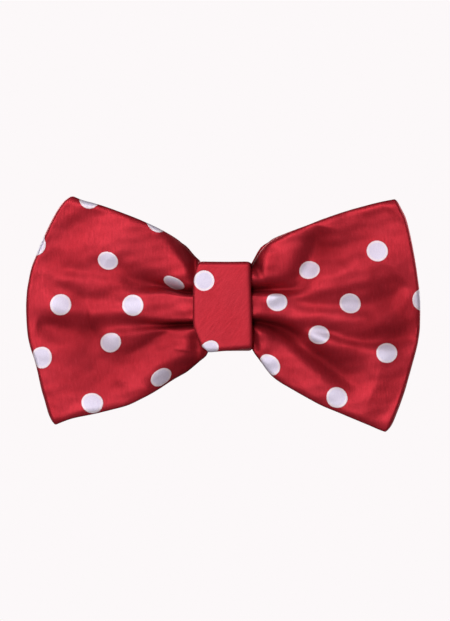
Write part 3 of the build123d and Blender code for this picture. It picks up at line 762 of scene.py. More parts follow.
def build_bow():
    across = crowded(131, 0.86)
    grid = loop_grid(176, across)
    y, hollow = surface_depth(grid, across)
    outer = np.stack([grid["x"], y, grid["z"]], -1)
    outer = outer + drape(outer, grid["front"])
    front = grid["front"]
    v = fabric_height(outer, grid)

    # outer face with rounded pressed edges
    normal = grid_normals(blur(outer, 5, 3))
    if normal[outer.shape[0] // 2, outer.shape[1] // 2, 1] > 0:  # outward is -Y at centre front
        normal = -normal
    thick = CLOTH * np.sqrt(np.clip(1 - np.abs(across) ** 26, 0, 1))[None, :, None]
    skin = outer - normal * (CLOTH - thick) / 2

    # inside the folds the inner face lies straight behind the outer one, so it never comes
    # through at a crease
    flat = smoothstep(0.45, 0.8, np.abs(normal[:, :, 1:2]))
    straight = unit(normal * np.concatenate([1 - flat, np.ones_like(flat), 1 - flat], 2))
    on_front = front > 0.98
    deepest = furthest_back(outer[:, :, 1])
    inner = outer - straight * (CLOTH + thick) / 2
    behind = np.maximum(inner[:, :, 1], deepest + 0.8 * thick[:, :, 0])
    inner[:, :, 1] = np.where(on_front, behind, inner[:, :, 1])
    inner_columns = pick(1, len(across) - 2, 45)

    def inside(values):
        """Values of the outer face at the inner face's columns, in the inner face's order."""
        return values[:, inner_columns][:, ::-1]

    inner = inside(inner)

    dots, dot_points = place_front_dots(outer, grid, v)
    dot_outer = dot_distance(grid["u"], v, dots)
    dot_back = dot_distance(grid["x"], grid["z"], BACK_DOTS)
    dot_outer = np.minimum(dot_outer, np.where(front < 0.5, dot_back, FAR))
    # the inner face has its own lattice away from the edges, and shows the front's dots as well
    inner_u = inside(grid["u"])
    inner_v = inside(grid["z"])
    dot_inner = dot_distance(inner_u, inner_v, INNER_DOTS)
    dot_inner = np.where(inside(np.abs(across)[None, :]) > 0.86, UNDOTTED, dot_inner)
    for point in dot_points:
        away = np.linalg.norm(inner - point, axis=2)
        dot_inner = np.minimum(dot_inner, np.where(inside(front) > 0.5, away, FAR))

    # distance from the long edges, which the satin uses for painted shade along them
    rim = np.where(front > 0.5, edge_distance(v), edge_distance(grid["z"]))
    points = np.concatenate([skin, inner], 1)
    faces = ring_faces(*points.shape[:2])
    bow = add_soft_piece("bow_loop", points.reshape(-1, 3), faces, "bow_shell", "bow_satin")
    put_attributes(
        bow,
        edge=np.concatenate([rim, np.full(inner_u.shape, 5.0)], 1),
        # painted fold shade, the inner face taking the outer face's
        hollow=np.concatenate([hollow, inside(hollow)], 1),
        dot=np.concatenate([dot_outer, dot_inner], 1),
        fabric_u=np.concatenate([grid["u"], inner_u], 1),
        fabric_v=np.concatenate([v, inner_v], 1),
    )
    slack = np.where(on_front, np.clip(deepest - outer[:, :, 1], 0, 0.35), 0.0)[:, :, None]
    return bow, line_bow(outer, straight, slack, front, across)


def line_bow(outer, straight, slack, front, across):
    """A sheet inside each layer of each wing, short of the gathers and of the turn at the tip."""
    columns = np.nonzero(np.abs(across) < 0.84)[0]
    near_face = (outer - straight * (0.45 + slack))[::2][:, columns]
    far_face = (outer - straight * (0.75 + slack))[::2][:, columns][:, ::-1]
    rings = np.concatenate([near_face, far_face], 1)
    middle = rings.shape[1] // 4
    row_x = outer[::2][:, middle, 0]
    row_front = front[::2][:, middle]
    sheets = []
    for side in (RIGHT, LEFT):
        for layer, start in ((row_front < 0.5, 11.0), (row_front >= 0.5, 17.0)):
            rows = np.nonzero(layer & (row_x * side > start) & (row_x * side < 54.0))[0]
            sheets.append((rings[rows].reshape(-1, 3), ring_faces(len(rows), rings.shape[1])))
    name = "bow_interlining_sheet"
    return add_soft_piece(name, *merge(sheets), "bow_interlining", "interlining")


# ------------------------------------------------------------------ knot band
KNOT_FRONT, KNOT_BACK, KNOT_TOP = -18.2, 2.1, 13.65  # Y, Y and Z of the band's outer face
KNOT_BACK_RADIUS, KNOT_FRONT_RADIUS = 3.2, 1.3
KNOT_THICKNESS = 1.4
KNOT_HALF_WIDTH = 8.75
# (distance drawn in from the back, z) above the back seam, against the gathers
KNOT_DRAW_IN = [(0, 0.22), (0, 3.4), (0.25, 4.8), (0.95, 6.4), (1.4, 8), (1.6, 9.6)]
KNOT_LEFT_EDGE = [  # (z, x), drawn in towards the bottom
    (-14.2, -4.7), (-13.4, -5.1), (-11.4, -6.8), (-9.3, -7.9), (-6, -9.05), (-4, -9.2),
    (5, -9.2), (8, -9.05), (11.1, -8.4), (13.6, -7.65),
]
KNOT_RIGHT_EDGE = [(-13.6, 8.75), (-10, 8.85), (0, 8.6), (10, 8.3), (13.6, 8.25)]  # (z, x)


def corner(y, z, radius, start, count):
    """Points of a quarter turn about (y, z), from a start angle in degrees."""
    angles = np.radians(np.linspace(start, start + 90, count))
    return [(y + radius * cos(a), z + radius * sin(a)) for a in angles]


def knot_path(count):
    """(y, z) round the outer face, from the back seam over the top, down the front and back."""
    back, front = KNOT_BACK_RADIUS, KNOT_FRONT_RADIUS
    half = [tuple(p) for p in smooth_line([(KNOT_BACK - d, z) for d, z in KNOT_DRAW_IN], 40)]
    top_back = KNOT_BACK - KNOT_DRAW_IN[-1][0]
    half += corner(top_back - back, KNOT_TOP - back, back, start=0, count=13)[1:]
    half += corner(KNOT_FRONT + front, KNOT_TOP - front, front, start=90, count=13)
    line = np.array(half + [(y, -z) for y, z in half[::-1]])
    along = running_length(line)
    stations = np.linspace(0, along[-1], count)
    path = resample(line, along, stations)
    for _ in range(3):  # ease the corners
        path[1:-1] = 0.25 * path[:-2] + 0.5 * path[1:-1] + 0.25 * path[2:]
    return path, stations


def build_knot():
    rows = 300
    path, along = knot_path(rows)
    path_y, path_z = path.T
    across = crowded(61, 0.8)

    # side edges follow their tables on the front, and run straight at the back
    frontness = smoothstep(-6.0, -14.0, path_y)
    left_share = np.where(path_z < 0, smoothstep(2.0, -8.0, path_y), frontness)
    left_edge = pchip(*zip(*KNOT_LEFT_EDGE))(path_z)
    right_edge = pchip(*zip(*KNOT_RIGHT_EDGE))(path_z)
    left = -KNOT_HALF_WIDTH + (left_edge + KNOT_HALF_WIDTH) * left_share
    right = KNOT_HALF_WIDTH + (right_edge - KNOT_HALF_WIDTH) * frontness
    x = left[:, None] + (right - left)[:, None] * (across[None, :] + 1) / 2
    y = np.repeat(path_y[:, None], len(across), axis=1)
    bottom = (frontness * smoothstep(-8.0, -13.0, path_z))[:, None]
    tilt = bottom * (-0.35 + 0.09 * (x + 4.6).clip(0))  # the bottom edge runs up to the right
    base = np.stack([x, y, path_z[:, None] + tilt], -1)

    tangent = unit(np.gradient(path, axis=0))
    normal = np.stack([0 * tangent[:, 0], -tangent[:, 1], tangent[:, 0]], 1)
    if normal[rows // 2, 1] > 0:  # outward is -Y on the front
        normal = -normal
    normal = normal[:, None, :]

    rim = np.abs(across)[None, :]
    uneven = waves(x / 5, along[:, None] / 6, seed=9, low=0.1, high=0.6)
    drop = 0.12 * rim**16 + 0.10 * (1 + uneven) * 0.5
    thick = KNOT_THICKNESS * np.sqrt(np.clip(1 - rim**20, 0, 1))
    outer = base - normal * (drop + (KNOT_THICKNESS - thick) / 2)[:, :, None]
    inner_columns = pick(1, len(across) - 2, 17)
    inner = base - normal * (drop + (KNOT_THICKNESS + thick) / 2)[:, :, None]
    inner = inner[:, inner_columns][:, ::-1]

    # fabric v is 0 at mid height and runs down the front
    front = slice(rows // 4, 3 * rows // 4)
    v = along - np.interp(0.0, path_z[front][::-1], along[front][::-1])
    dots = []
    for dot_x, dot_z, *slope in KNOT_DOTS:
        i = rows // 4 + int(np.argmin(np.abs(path_z[front] - dot_z)))
        dots.append((dot_x, v[i], *slope))
    upper, lower = dots
    for n in (1, 2, 3):
        dots.append((lower[0] + n * KNOT_DOT_DRIFT, lower[1] + n * DOT_PITCH))
        dots.append((upper[0] - n * KNOT_DOT_DRIFT, upper[1] - n * DOT_PITCH))
    v = np.repeat(v[:, None], len(across), axis=1)
    dot = dot_distance(x, v, dots) + 0.12  # slightly smaller dots than on the bow

    points = np.concatenate([outer, inner], 1)
    faces = ring_faces(*points.shape[:2])
    knot = add_soft_piece("knot_band", points.reshape(-1, 3), faces, "knot_wrap", "knot_satin")
    put_attributes(
        knot,
        # distance from the side edges, for painted shade along them; none on the inner face
        edge=np.concatenate([edge_distance(x), np.full(inner.shape[:2], 5.0)], 1),
        dot=np.concatenate([dot, np.full(inner.shape[:2], UNDOTTED)], 1),
        fabric_u=np.concatenate([x, x[:, inner_columns]], 1),
        fabric_v=np.concatenate([v, v[:, inner_columns]], 1),
    )

    # interlining halfway through the band's thickness
    middle = (base - normal * (drop + KNOT_THICKNESS * 0.5)[:, :, None])[::5][:, 3:-3:2]
    lift = normal[::5] * 0.2
    rings = np.concatenate([middle + lift, (middle - lift)[:, ::-1]], 1)
    name = "knot_interlining_sheet"
    faces = ring_faces(*rings.shape[:2])
    sheet = add_soft_piece(name, rings.reshape(-1, 3), faces, "knot_interlining", "interlining")
    return knot, sheet


# ------------------------------------------------------------------ thread
THREAD_STEP = 0.14  # spacing of rings along a ply
HEAVY, LIGHT = 0.21, 0.165  # thread radii


def tangents(line, closed):
    if closed:
        return unit(np.roll(line, -1, 0) - np.roll(line, 1, 0))
    return unit(np.gradient(line, axis=0))


def tube(path, radius, sides, closed=False):
    """Vertices and faces of a round strand along a path of points."""
    count = len(path)
    tangent = tangents(path, closed)
    reference = [0.0, 0.0, 1.0] if abs(tangent[0][2]) < 0.9 else [1.0, 0.0, 0.0]
    a = unit(np.cross(tangent[0], reference))
    angle = (np.arange(sides) * tau / sides)[:, None]
    rings = []
    for point, t in zip(path, tangent):
        a = unit(a - t * np.dot(a, t))
        rings.append(point + radius * (np.cos(angle) * a + np.sin(angle) * np.cross(t, a)))
    faces = []
    for i in range(count if closed else count - 1):
        for j in range(sides):
            k = (i + 1) % count
            m = (j + 1) % sides
            faces.append((i * sides + j, i * sides + m, k * sides + m, k * sides + j))
    if not closed:
        faces.append(tuple(range(sides))[::-1])
        faces.append(tuple((count - 1) * sides + j for j in range(sides)))
    return np.vstack(rings), faces


def yarn(path, radius, pitch, closed=False):
    """Two plies wound round each other along a path."""
    if closed:
        path = np.vstack([path, path[:1]])
    along = running_length(path)
    length = along[-1]
    stations = np.linspace(0, length, max(int(length / THREAD_STEP), 12), endpoint=not closed)
    line = resample(path, along, stations)
    tangent = tangents(line, closed)
    reference = [1.0, 0.0, 0.0] if np.abs(tangent[:, 0]).max() < 0.95 else [0.0, 0.0, 1.0]
    a = unit(np.cross(tangent, reference))
    b = np.cross(tangent, a)
    turns = max(round(length / pitch), 1)
    plies = []
    for ply in range(2):
        phase = (stations / length * tau * turns + ply * tau / 2)[:, None]
        centre = line + radius * 0.46 * (np.cos(phase) * a + np.sin(phase) * b)
        plies.append(tube(centre, radius * 0.54, sides=6, closed=closed))
    return merge(plies)


def rounded_loop(x, y0, y1, half_z, radius):
    """Rounded rectangle in the YZ plane at x."""
    near, far = y0 + radius, y1 - radius
    z = half_z - radius
    points = []
    for y, z, start in ((far, z, 0), (near, z, 90), (near, -z, 180), (far, -z, 270)):
        points += corner(y, z, radius, start, count=10)
    return np.array([(x, *point) for point in points])


def arc_stitch(start, end, lift):
    """A stitch from start to end, bowed towards the back (+Y) by lift."""
    start = np.array(start)
    t = np.linspace(0, 1, 14)[:, None]
    bow = np.array((0.0, 1.0, 0.0)) * (lift * 4 * t * (1 - t))
    return start + (np.array(end) - start) * t + bow


def add_binding():
    parts = []
    for x in (-3.3, -2.75, 2.75, 3.3):
        loop = rounded_loop(x, y0=-16.37, y1=-1.28, half_z=11.67, radius=2.6)
        parts.append(yarn(loop, HEAVY, pitch=1.1, closed=True))
    name = "gathering_binding"
    return add_soft_piece(name, *merge(parts), "gathering_thread", "binding_thread")


def add_tacks():
    parts = []
    for x in (-5.0, 5.0):
        loop = rounded_loop(x, y0=-1.08, y1=0.28, half_z=2.4, radius=0.42)
        parts.append(yarn(loop, HEAVY, pitch=0.8, closed=True))
    return add_soft_piece("clip_bar_tacks", *merge(parts), "bar_tacking_thread", "binding_thread")


def add_loop_end_stitches():
    """Level stitches across the loop's meeting ends at the centre back."""
    parts = []
    for z in (-8.6, -7.2, -1.0, 1.0, 7.2, 8.6):
        stitch = arc_stitch((-1.25, -1.36, z), (1.25, -1.36, z), lift=0.13)
        parts.append(yarn(stitch, LIGHT, pitch=0.8))
    name = "loop_end_whipping"
    return add_soft_piece(name, *merge(parts), "loop_end_stitches", "sewing_thread")


def add_knot_stitches():
    """Slanted stitches across the seam at the back of the knot."""
    parts = []
    for i in range(-3, 4):
        x = i * 2.3
        stitch = arc_stitch((x - 0.35, 2.06, -1.1), (x + 0.35, 2.06, 1.1), lift=0.2)
        parts.append(yarn(stitch, LIGHT, pitch=0.8))
    name = "knot_back_stitches"
    return add_soft_piece(name, *merge(parts), "knot_closing_stitches", "sewing_thread")


# ------------------------------------------------------------------ springs
PIVOT_X, PIVOT_Y = 18.0, 2.4
COIL_RADIUS, WIRE_RADIUS = 1.18, 0.25
COIL_PITCH = 0.62
UPPER_LEG = 4.1
UPPER_LEG_ANGLE = radians(25.0)
LOWER_END = (11.2, WIRE_RADIUS + 0.04)  # (x, y)


def spring_path():
    """Right-hand spring: a leg, the coil about a Z axis and a second leg; and its height."""
    first = pi / 2 - UPPER_LEG_ANGLE
    leg_x = PIVOT_X + COIL_RADIUS * cos(first)
    leg_y = PIVOT_Y + COIL_RADIUS * sin(first)
    tip_x = leg_x - UPPER_LEG * cos(UPPER_LEG_ANGLE)
    tip_y = leg_y + UPPER_LEG * sin(UPPER_LEG_ANGLE)
    # the second leg leaves the coil where it is tangent towards its end
    dx = LOWER_END[0] - PIVOT_X
    dy = LOWER_END[1] - PIVOT_Y
    last = atan2(dy, dx) + acos(COIL_RADIUS / hypot(dx, dy))
    turns = 3 + ((last - first) % tau) / tau
    height = COIL_PITCH * turns
    points = []
    for t in np.linspace(0, 1, 16)[:-1]:
        points.append((tip_x + (leg_x - tip_x) * t, tip_y + (leg_y - tip_y) * t, -height / 2))
    for t in np.linspace(0, 1, 110):
        a = first + t * turns * tau
        x = PIVOT_X + COIL_RADIUS * cos(a)
        points.append((x, PIVOT_Y + COIL_RADIUS * sin(a), -height / 2 + height * t))
    x, y, z = points[-1]
    for t in np.linspace(0, 1, 22)[1:]:
        points.append((x + (LOWER_END[0] - x) * t, y + (LOWER_END[1] - y) * t, z))
    return np.array(points), height


def add_spring(side, word):
    path, height = spring_path()
    path[:, 0] *= side
    vertices, faces = tube(path, WIRE_RADIUS, sides=12)
    if side == LEFT:
        faces = [face[::-1] for face in faces]
    spring = make_object(f"jaw_spring_{word}", vertices, faces)
    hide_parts(f"torsion_spring_{word}")
    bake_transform(spring)
    return spring


# ------------------------------------------------------------------ materials
def srgb(*color):
    """Linear colour from 0-255 sRGB values."""
    parts = [c / 255 for c in color]
    return tuple(c / 12.92 if c <= 0.04045 else ((c + 0.055) / 1.055) ** 2.4 for c in parts)


def darker(color, factor):
    return tuple(c * factor for c in color)


class Shader:
    """Short-hand for building a material's nodes."""

    def __init__(self, name):
        self.material = bpy.data.materials.new(name)
        self.material.use_nodes = True
        self.tree = self.material.node_tree
        self.tree.nodes.clear()
        output = self.node("ShaderNodeOutputMaterial")
        self.bsdf = self.node("ShaderNodeBsdfPrincipled")
        self.feed(output.inputs[0], self.bsdf.outputs[0])

    def node(self, kind, **values):
        node = self.tree.nodes.new(kind)
        for name, value in values.items():
            setattr(node, name, value)
        return node

    def feed(self, socket, value):
        """Link a socket's value, or set a plain one."""
        if hasattr(value, "is_output"):
            self.tree.links.new(value, socket)
        else:
            socket.default_value = value

    def feed_all(self, node, *values):
        for socket, value in zip(node.inputs, values):
            self.feed(socket, value)
        return node.outputs[0]

    def surface(self, inputs):
        for name, value in inputs.items():
            self.feed(self.bsdf.inputs[name], value)

    def math(self, operation, *values):
        return self.feed_all(self.node("ShaderNodeMath", operation=operation), *values)

    def add(self, a, b):
        return self.math("ADD", a, b)

    def subtract(self, a, b):
        return self.math("SUBTRACT", a, b)

    def multiply(self, a, b):
        return self.math("MULTIPLY", a, b)

    def centred(self, noise, amount):
        """Noise shifted to swing about zero."""
        return self.multiply(self.subtract(noise, 0.5), amount)

    def attribute(self, name):
        return self.node("ShaderNodeAttribute", attribute_name=name).outputs["Fac"]

    def object_place(self):
        return self.node("ShaderNodeTexCoord").outputs["Object"]

    def vector(self, x, y, z=0.0):
        return self.feed_all(self.node("ShaderNodeCombineXYZ"), x, y, z)

    def noise(self, vector, scale, detail, roughness=0.55):
        node = self.node("ShaderNodeTexNoise")
        self.feed(node.inputs["Vector"], vector)
        node.inputs["Scale"].default_value = scale
        node.inputs["Detail"].default_value = detail
        node.inputs["Roughness"].default_value = roughness
        return node.outputs["Fac"]

    def ramp(self, value, *stops):
        """Colour ramp through (position, colour) stops."""
        node = self.node("ShaderNodeValToRGB")
        elements = node.color_ramp.elements
        while len(elements) < len(stops):
            elements.new(0.5)
        for element, (position, color) in zip(elements, stops):
            element.position = position
            element.color = (*color, 1)
        return self.feed_all(node, value)

    def mix(self, share, a, b, mode="MIX"):
        node = self.node("ShaderNodeMix", data_type="RGBA", blend_type=mode)
        self.feed(node.inputs[0], share)
        for socket, color in ((node.inputs[6], a), (node.inputs[7], b)):
            self.feed(socket, (*color, 1) if isinstance(color, tuple) else color)
        return node.outputs[2]

    def remap(self, value, start, end, to, smooth=False):
        """Map start..end onto the pair to."""
        kind = "SMOOTHSTEP" if smooth else "LINEAR"
        node = self.node("ShaderNodeMapRange", interpolation_type=kind)
        return self.feed_all(node, value, start, end, *to)

    def bump(self, height, strength, distance, normal=None):
        node = self.node("ShaderNodeBump")
        node.inputs["Strength"].default_value = strength
        node.inputs["Distance"].default_value = distance
        self.feed(node.inputs["Height"], height)
        if normal is not None:
            self.feed(node.inputs["Normal"], normal)
        return node.outputs[0]


RED_LOW, RED_MID, RED_HIGH = srgb(168, 24, 38), srgb(190, 35, 50), srgb(205, 58, 74)
RED_DEEP = srgb(160, 19, 34)
# painted shade for the pressed edges, on the red and on a dot
RED_EDGE_SHADE, DOT_EDGE_SHADE = srgb(96, 12, 24), srgb(176, 160, 178)
DOT_LOW, DOT_HIGH, DOT_RIM = srgb(226, 216, 241), srgb(250, 241, 255), srgb(255, 240, 246)
# how strongly the painted fold shade darkens the satin
FOLD_SHADE_STRENGTH = 0.16
# spacing of the weave's ribs in millimetres: across the floats, and along and across the twill
RIB, TWILL_ALONG, TWILL_ACROSS = 0.30, 0.95, 0.60


def satin(name, float_angle):
    """Red warp-faced satin with woven pale dots; float_angle is in degrees on the piece."""
    n = Shader(name)
    u = n.attribute("fabric_u")
    v = n.attribute("fabric_v")
    distance = n.attribute("dot")
    c = cos(radians(float_angle))
    s = sin(radians(float_angle))
    a = n.add(n.multiply(u, c), n.multiply(v, s))  # across the floats
    b = n.subtract(n.multiply(v, c), n.multiply(u, s))  # along them

    # dot mask with the slightly stepped edge that a woven figure has
    steps = n.noise(n.vector(a, b), scale=3.2, detail=2.0)
    distance = n.add(distance, n.centred(steps, amount=0.16))
    dot = n.remap(distance, DOT_RADIUS - 0.09, DOT_RADIUS + 0.09, to=(1.0, 0.0))
    rim = n.remap(distance, DOT_RADIUS - 0.85, DOT_RADIUS - 0.40, to=(0.0, 1.0), smooth=True)
    rim = n.multiply(rim, dot)
    halo = n.remap(distance, DOT_RADIUS + 0.02, DOT_RADIUS + 0.5, to=(1.0, 0.0), smooth=True)

    def streaks(across, along, detail, roughness):
        place = n.vector(n.multiply(a, across), n.multiply(b, along))
        return n.noise(place, scale=1.0, detail=detail, roughness=roughness)

    warp = streaks(across=6.5, along=0.55, detail=3.0, roughness=0.6)
    slub = streaks(across=1.6, along=0.22, detail=2.0, roughness=0.5)
    grain = streaks(across=5.0, along=3.2, detail=2.0, roughness=0.6)
    cloud = n.noise(n.vector(a, b), scale=0.085, detail=2.0, roughness=0.5)

    threads = n.add(n.multiply(warp, 0.5), n.multiply(grain, 0.5))
    red = n.ramp(threads, (0.25, RED_LOW), (0.5, RED_MID), (0.75, RED_HIGH))
    red = n.mix(n.remap(slub, 0.35, 0.65, to=(0.0, 0.30)), red, RED_DEEP)
    red = n.mix(n.remap(cloud, 0.35, 0.65, to=(0.0, 0.16)), red, RED_HIGH)
    threads = n.add(n.multiply(grain, 0.6), n.multiply(warp, 0.4))
    white = n.ramp(threads, (0.3, DOT_LOW), (0.7, DOT_HIGH))
    white = n.mix(n.multiply(rim, 0.85), white, DOT_RIM)
    red = n.mix(n.multiply(halo, 0.30), red, RED_LOW)
    color = n.mix(dot, red, white)
    # painted shade along the pressed edges: near them the cloth is mixed towards a dark red, or
    # towards a grey on a dot
    edge = n.add(n.attribute("edge"), n.centred(grain, amount=0.2))
    edge = n.remap(edge, 0.15, 0.75, to=(0.30, 0.0), smooth=True)
    color = n.mix(edge, color, n.mix(dot, RED_EDGE_SHADE, DOT_EDGE_SHADE))
    # painted shade in the folds: less light gets down into them, and least of all green and blue,
    # standing for red light bounced about inside
    shade = n.math("POWER", EULER, n.multiply(n.attribute("hollow"), -FOLD_SHADE_STRENGTH))
    tint = n.vector(n.math("POWER", shade, 0.78), shade, shade)
    color = n.mix(1.0, color, tint, mode="MULTIPLY")

    # the painted fold shade also makes the satin rougher and more metallic, which dulls its sheen in
    # the folds
    lost = n.subtract(1.0, shade)
    roughness = n.add(
        n.remap(grain, 0.2, 0.8, to=(0.50, 0.60)),
        n.add(n.multiply(dot, 0.08), n.multiply(lost, 0.25)),
    )
    metallic = n.add(n.remap(dot, 0.0, 1.0, to=(0.72, 0.60)), n.multiply(lost, 0.28))

    # relief: weave, then loose yarns, then raised dots
    ribs = n.math("SINE", n.multiply(a, tau / RIB))
    twill = n.add(n.multiply(b, tau / TWILL_ALONG), n.multiply(a, tau / TWILL_ACROSS))
    twill = n.math("SINE", twill)
    weave = n.add(n.multiply(ribs, 0.5), n.multiply(twill, 0.35))
    normal = n.bump(weave, strength=0.30, distance=0.00004)
    yarns = n.add(warp, n.multiply(slub, 1.2))
    normal = n.bump(yarns, strength=0.35, distance=0.00012, normal=normal)
    raised = n.remap(distance, DOT_RADIUS - 0.2, DOT_RADIUS + 0.2, to=(1.0, 0.0), smooth=True)
    normal = n.bump(raised, strength=0.5, distance=0.00006, normal=normal)
    n.surface({
        "Base Color": color,
        "Roughness": roughness,
        "Specular IOR Level": 0.5,
        "Metallic": metallic,
        "Sheen Weight": 0.05,
        "Sheen Roughness": 0.45,
        "Sheen Tint": (*srgb(255, 150, 160), 1),
        "Normal": normal,
    })
    return n.material


def thread_material(name, color):
    n = Shader(name)
    place = n.object_place()
    fibres = n.noise(place, scale=2600.0, detail=3.0)
    fuzz = n.noise(place, scale=5200.0, detail=2.0)
    n.surface({
        "Base Color": n.ramp(fibres, (0.3, darker(color, 0.6)), (0.7, color)),
        "Roughness": n.remap(fibres, 0.2, 0.8, to=(0.55, 0.8)),
        "Sheen Weight": 0.3,
        "Normal": n.bump(fuzz, strength=0.6, distance=0.00003),
    })
    return n.material


def interlining_material():
    n = Shader("brushed_interlining")
    nap = n.noise(n.object_place(), scale=900.0, detail=4.0, roughness=0.65)
    n.surface({
        "Base Color": n.ramp(nap, (0.25, srgb(200, 192, 172)), (0.75, srgb(236, 230, 214))),
        "Roughness": n.remap(nap, 0.2, 0.8, to=(0.85, 0.97)),
        "Sheen Weight": 0.4,
        "Normal": n.bump(nap, strength=0.7, distance=0.0002),
    })
    return n.material


def metal_material(name, color, roughness, brush, wear):
    """Metal brushed along X; wear is how far raised edges are rubbed bright."""
    n = Shader(name)
    place = n.object_place()
    axes = n.node("ShaderNodeSeparateXYZ")
    n.feed(axes.inputs[0], place)
    stretch = zip(axes.outputs, (260.0, 5200.0, 5200.0))
    stretched = n.vector(*[n.multiply(axis, scale) for axis, scale in stretch])
    lines = n.noise(stretched, scale=1.0, detail=4.0, roughness=0.6)
    patches = n.noise(place, scale=420.0, detail=3.0, roughness=0.6)
    spots = n.noise(place, scale=2400.0, detail=2.0, roughness=0.5)
    pointiness = n.node("ShaderNodeNewGeometry").outputs["Pointiness"]
    worn = n.remap(pointiness, 0.52, 0.60, to=(0.0, wear), smooth=True)
    tone = n.ramp(patches, (0.3, darker(color, 0.92)), (0.7, color))
    tone = n.mix(n.remap(spots, 0.62, 0.74, to=(0.0, 0.14)), tone, darker(color, 0.55))
    tone = n.mix(worn, tone, srgb(232, 228, 220))
    brushed = n.remap(lines, 0.2, 0.8, to=(roughness * 0.75, roughness * 1.35))
    uneven = n.multiply(n.remap(patches, 0.3, 0.7, to=(0.0, 1.0)), 0.06)
    rough = n.add(brushed, uneven)
    normal = n.bump(patches, strength=0.12, distance=0.0001)
    n.surface({
        "Base Color": tone,
        "Metallic": 0.80,
        "Roughness": rough,
        "Normal": n.bump(lines, strength=brush, distance=0.00003, normal=normal),
    })
    return n.material


def dress(material, *objects):
    for obj in objects:
        obj.data.materials.clear()
        obj.data.materials.append(material)


def dress_clip(nickel, rivet):
    """Give the clip's CAD pieces their metal and softened edges."""
    for name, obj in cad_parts.items():
        if name.startswith(("clip_bar", "clip_arm")):
            material = nickel
        elif name.startswith("hinge_pin"):
            material = rivet
        else:
            continue
        for slot in obj.material_slots:
            slot.material = material
        if not obj.material_slots:
            obj.data.materials.append(material)
        bevel = obj.modifiers.new("soft_edges", "BEVEL")
        bevel.width = 0.00012
        bevel.segments = 2
        bevel.limit_method = "ANGLE"
        bevel.angle_limit = radians(40)
        bevel.use_clamp_overlap = True


# ------------------------------------------------------------------ studio, in metres
PALE = (*srgb(252, 248, 249), 1)


def split_camera_rays(tree, output, others, seen):
    """Show one shader to the camera and light the scene with the other."""
    mix = tree.nodes.new("ShaderNodeMixShader")
    path = tree.nodes.new("ShaderNodeLightPath")
    tree.links.new(path.outputs["Is Camera Ray"], mix.inputs[0])
    tree.links.new(others.outputs[0], mix.inputs[1])
    tree.links.new(seen.outputs[0], mix.inputs[2])
    tree.links.new(mix.outputs[0], output.inputs[0])


def add_floor():
    material = bpy.data.materials.new("pale_floor")
    material.use_nodes = True
    tree = material.node_tree
    tree.nodes.clear()
    output = tree.nodes.new("ShaderNodeOutputMaterial")
    glow = tree.nodes.new("ShaderNodeEmission")
    diffuse = tree.nodes.new("ShaderNodeBsdfDiffuse")
    glow.inputs["Color"].default_value = PALE
    diffuse.inputs["Color"].default_value = (0.30, 0.29, 0.29, 1)
    split_camera_rays(tree, output, others=diffuse, seen=glow)
    grid = bmesh.new()
    bmesh.ops.create_grid(grid, x_segments=2, y_segments=2, size=3.0)
    mesh = bpy.data.meshes.new("floor")
    grid.to_mesh(mesh)
    grid.free()
    floor = bpy.data.objects.new("studio_floor", mesh)
    floor.location = (0, 0, -0.16)
    bpy.context.scene.collection.objects.link(floor)
    floor.data.materials.append(material)


def set_world():
    world = bpy.data.worlds.new("studio")
    world.use_nodes = True
    tree = world.node_tree
    tree.nodes.clear()
    output = tree.nodes.new("ShaderNodeOutputWorld")
    fill = tree.nodes.new("ShaderNodeBackground")
    backdrop = tree.nodes.new("ShaderNodeBackground")
    fill.inputs["Color"].default_value = (1.0, 0.98, 0.97, 1)
    fill.inputs["Strength"].default_value = 0.03
    backdrop.inputs["Color"].default_value = PALE
    backdrop.inputs["Strength"].default_value = 1.0
    split_camera_rays(tree, output, others=fill, seen=backdrop)
    bpy.context.scene.world = world
    bpy.context.scene.view_settings.view_transform = "Standard"


def area(name, at, size, power):
    """A round area light aimed at the origin."""
    light = bpy.data.lights.new(name, "AREA")
    light.shape = "DISK"
    light.size = size
    light.energy = power
    lamp = bpy.data.objects.new(name, light)
    lamp.location = at
    lamp.rotation_euler = (-Vector(at)).to_track_quat("-Z", "Y").to_euler()
    bpy.context.scene.collection.objects.link(lamp)


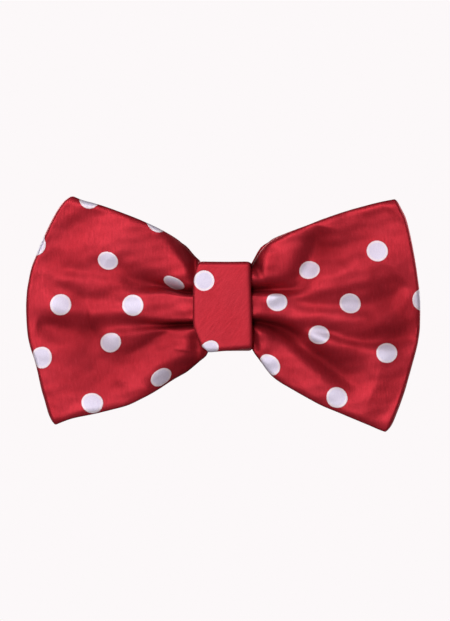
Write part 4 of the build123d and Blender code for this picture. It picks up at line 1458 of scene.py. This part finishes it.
def add_camera():
    """Camera in front of the bow; its view is view_height tall at view_distance."""
    film_height, view_distance, view_height = 36.0, 0.990, 0.1892
    camera_data = bpy.data.cameras.new("camera")
    camera_data.sensor_fit = "VERTICAL"
    camera_data.sensor_height = film_height
    camera_data.lens = film_height * view_distance / view_height
    camera = bpy.data.objects.new("camera", camera_data)
    camera.location = (0.00052, -1.0, -0.00122)
    camera.rotation_euler = (radians(90), 0, 0)
    bpy.context.scene.collection.objects.link(camera)
    bpy.context.scene.camera = camera


# ------------------------------------------------------------------ build
bow, bow_lining = build_bow()
knot, knot_lining = build_knot()
binding = add_binding()
tacks = add_tacks()
loop_end_stitches = add_loop_end_stitches()
knot_stitches = add_knot_stitches()
springs = [add_spring(side, word) for side, word in ((RIGHT, "right"), (LEFT, "left"))]

bow_satin = satin("bow_satin_red_dots", float_angle=4.0)
knot_satin = satin("knot_satin_red_dots", float_angle=38.0)
dress(bow_satin, bow)
dress(knot_satin, knot)
dress(interlining_material(), bow_lining, knot_lining)
dress(thread_material("binding_thread_waxed", srgb(120, 16, 26)), binding, tacks)
red_thread = thread_material("sewing_thread_red", srgb(168, 26, 40))
dress(red_thread, loop_end_stitches, knot_stitches)
nickel = metal_material(
    "nickel_plate", srgb(238, 235, 228), roughness=0.28, brush=0.10, wear=0.7
)
rivet = metal_material("rivet_steel", srgb(208, 205, 200), roughness=0.33, brush=0.18, wear=0.5)
wire = metal_material(
    "spring_wire_steel", srgb(140, 140, 142), roughness=0.32, brush=0.15, wear=0.3
)
dress(wire, *springs)
dress_clip(nickel, rivet)

add_floor()
set_world()
area("key", at=(-0.26, -1.15, 0.34), size=0.36, power=9.6)
area("top", at=(-0.1, -0.25, 1.1), size=0.5, power=0.5)
area("side_left", at=(-0.95, -0.62, 0.25), size=0.3, power=1.1)
area("side_right", at=(1.1, -0.35, 0.1), size=0.3, power=0.5)
area("back_left", at=(-0.55, 1.1, 0.55), size=0.9, power=9.0)
area("back_low", at=(0.15, 1.0, -0.12), size=0.9, power=3.5)
area("back_right", at=(0.9, 0.8, 0.3), size=0.7, power=4.0)
add_camera()
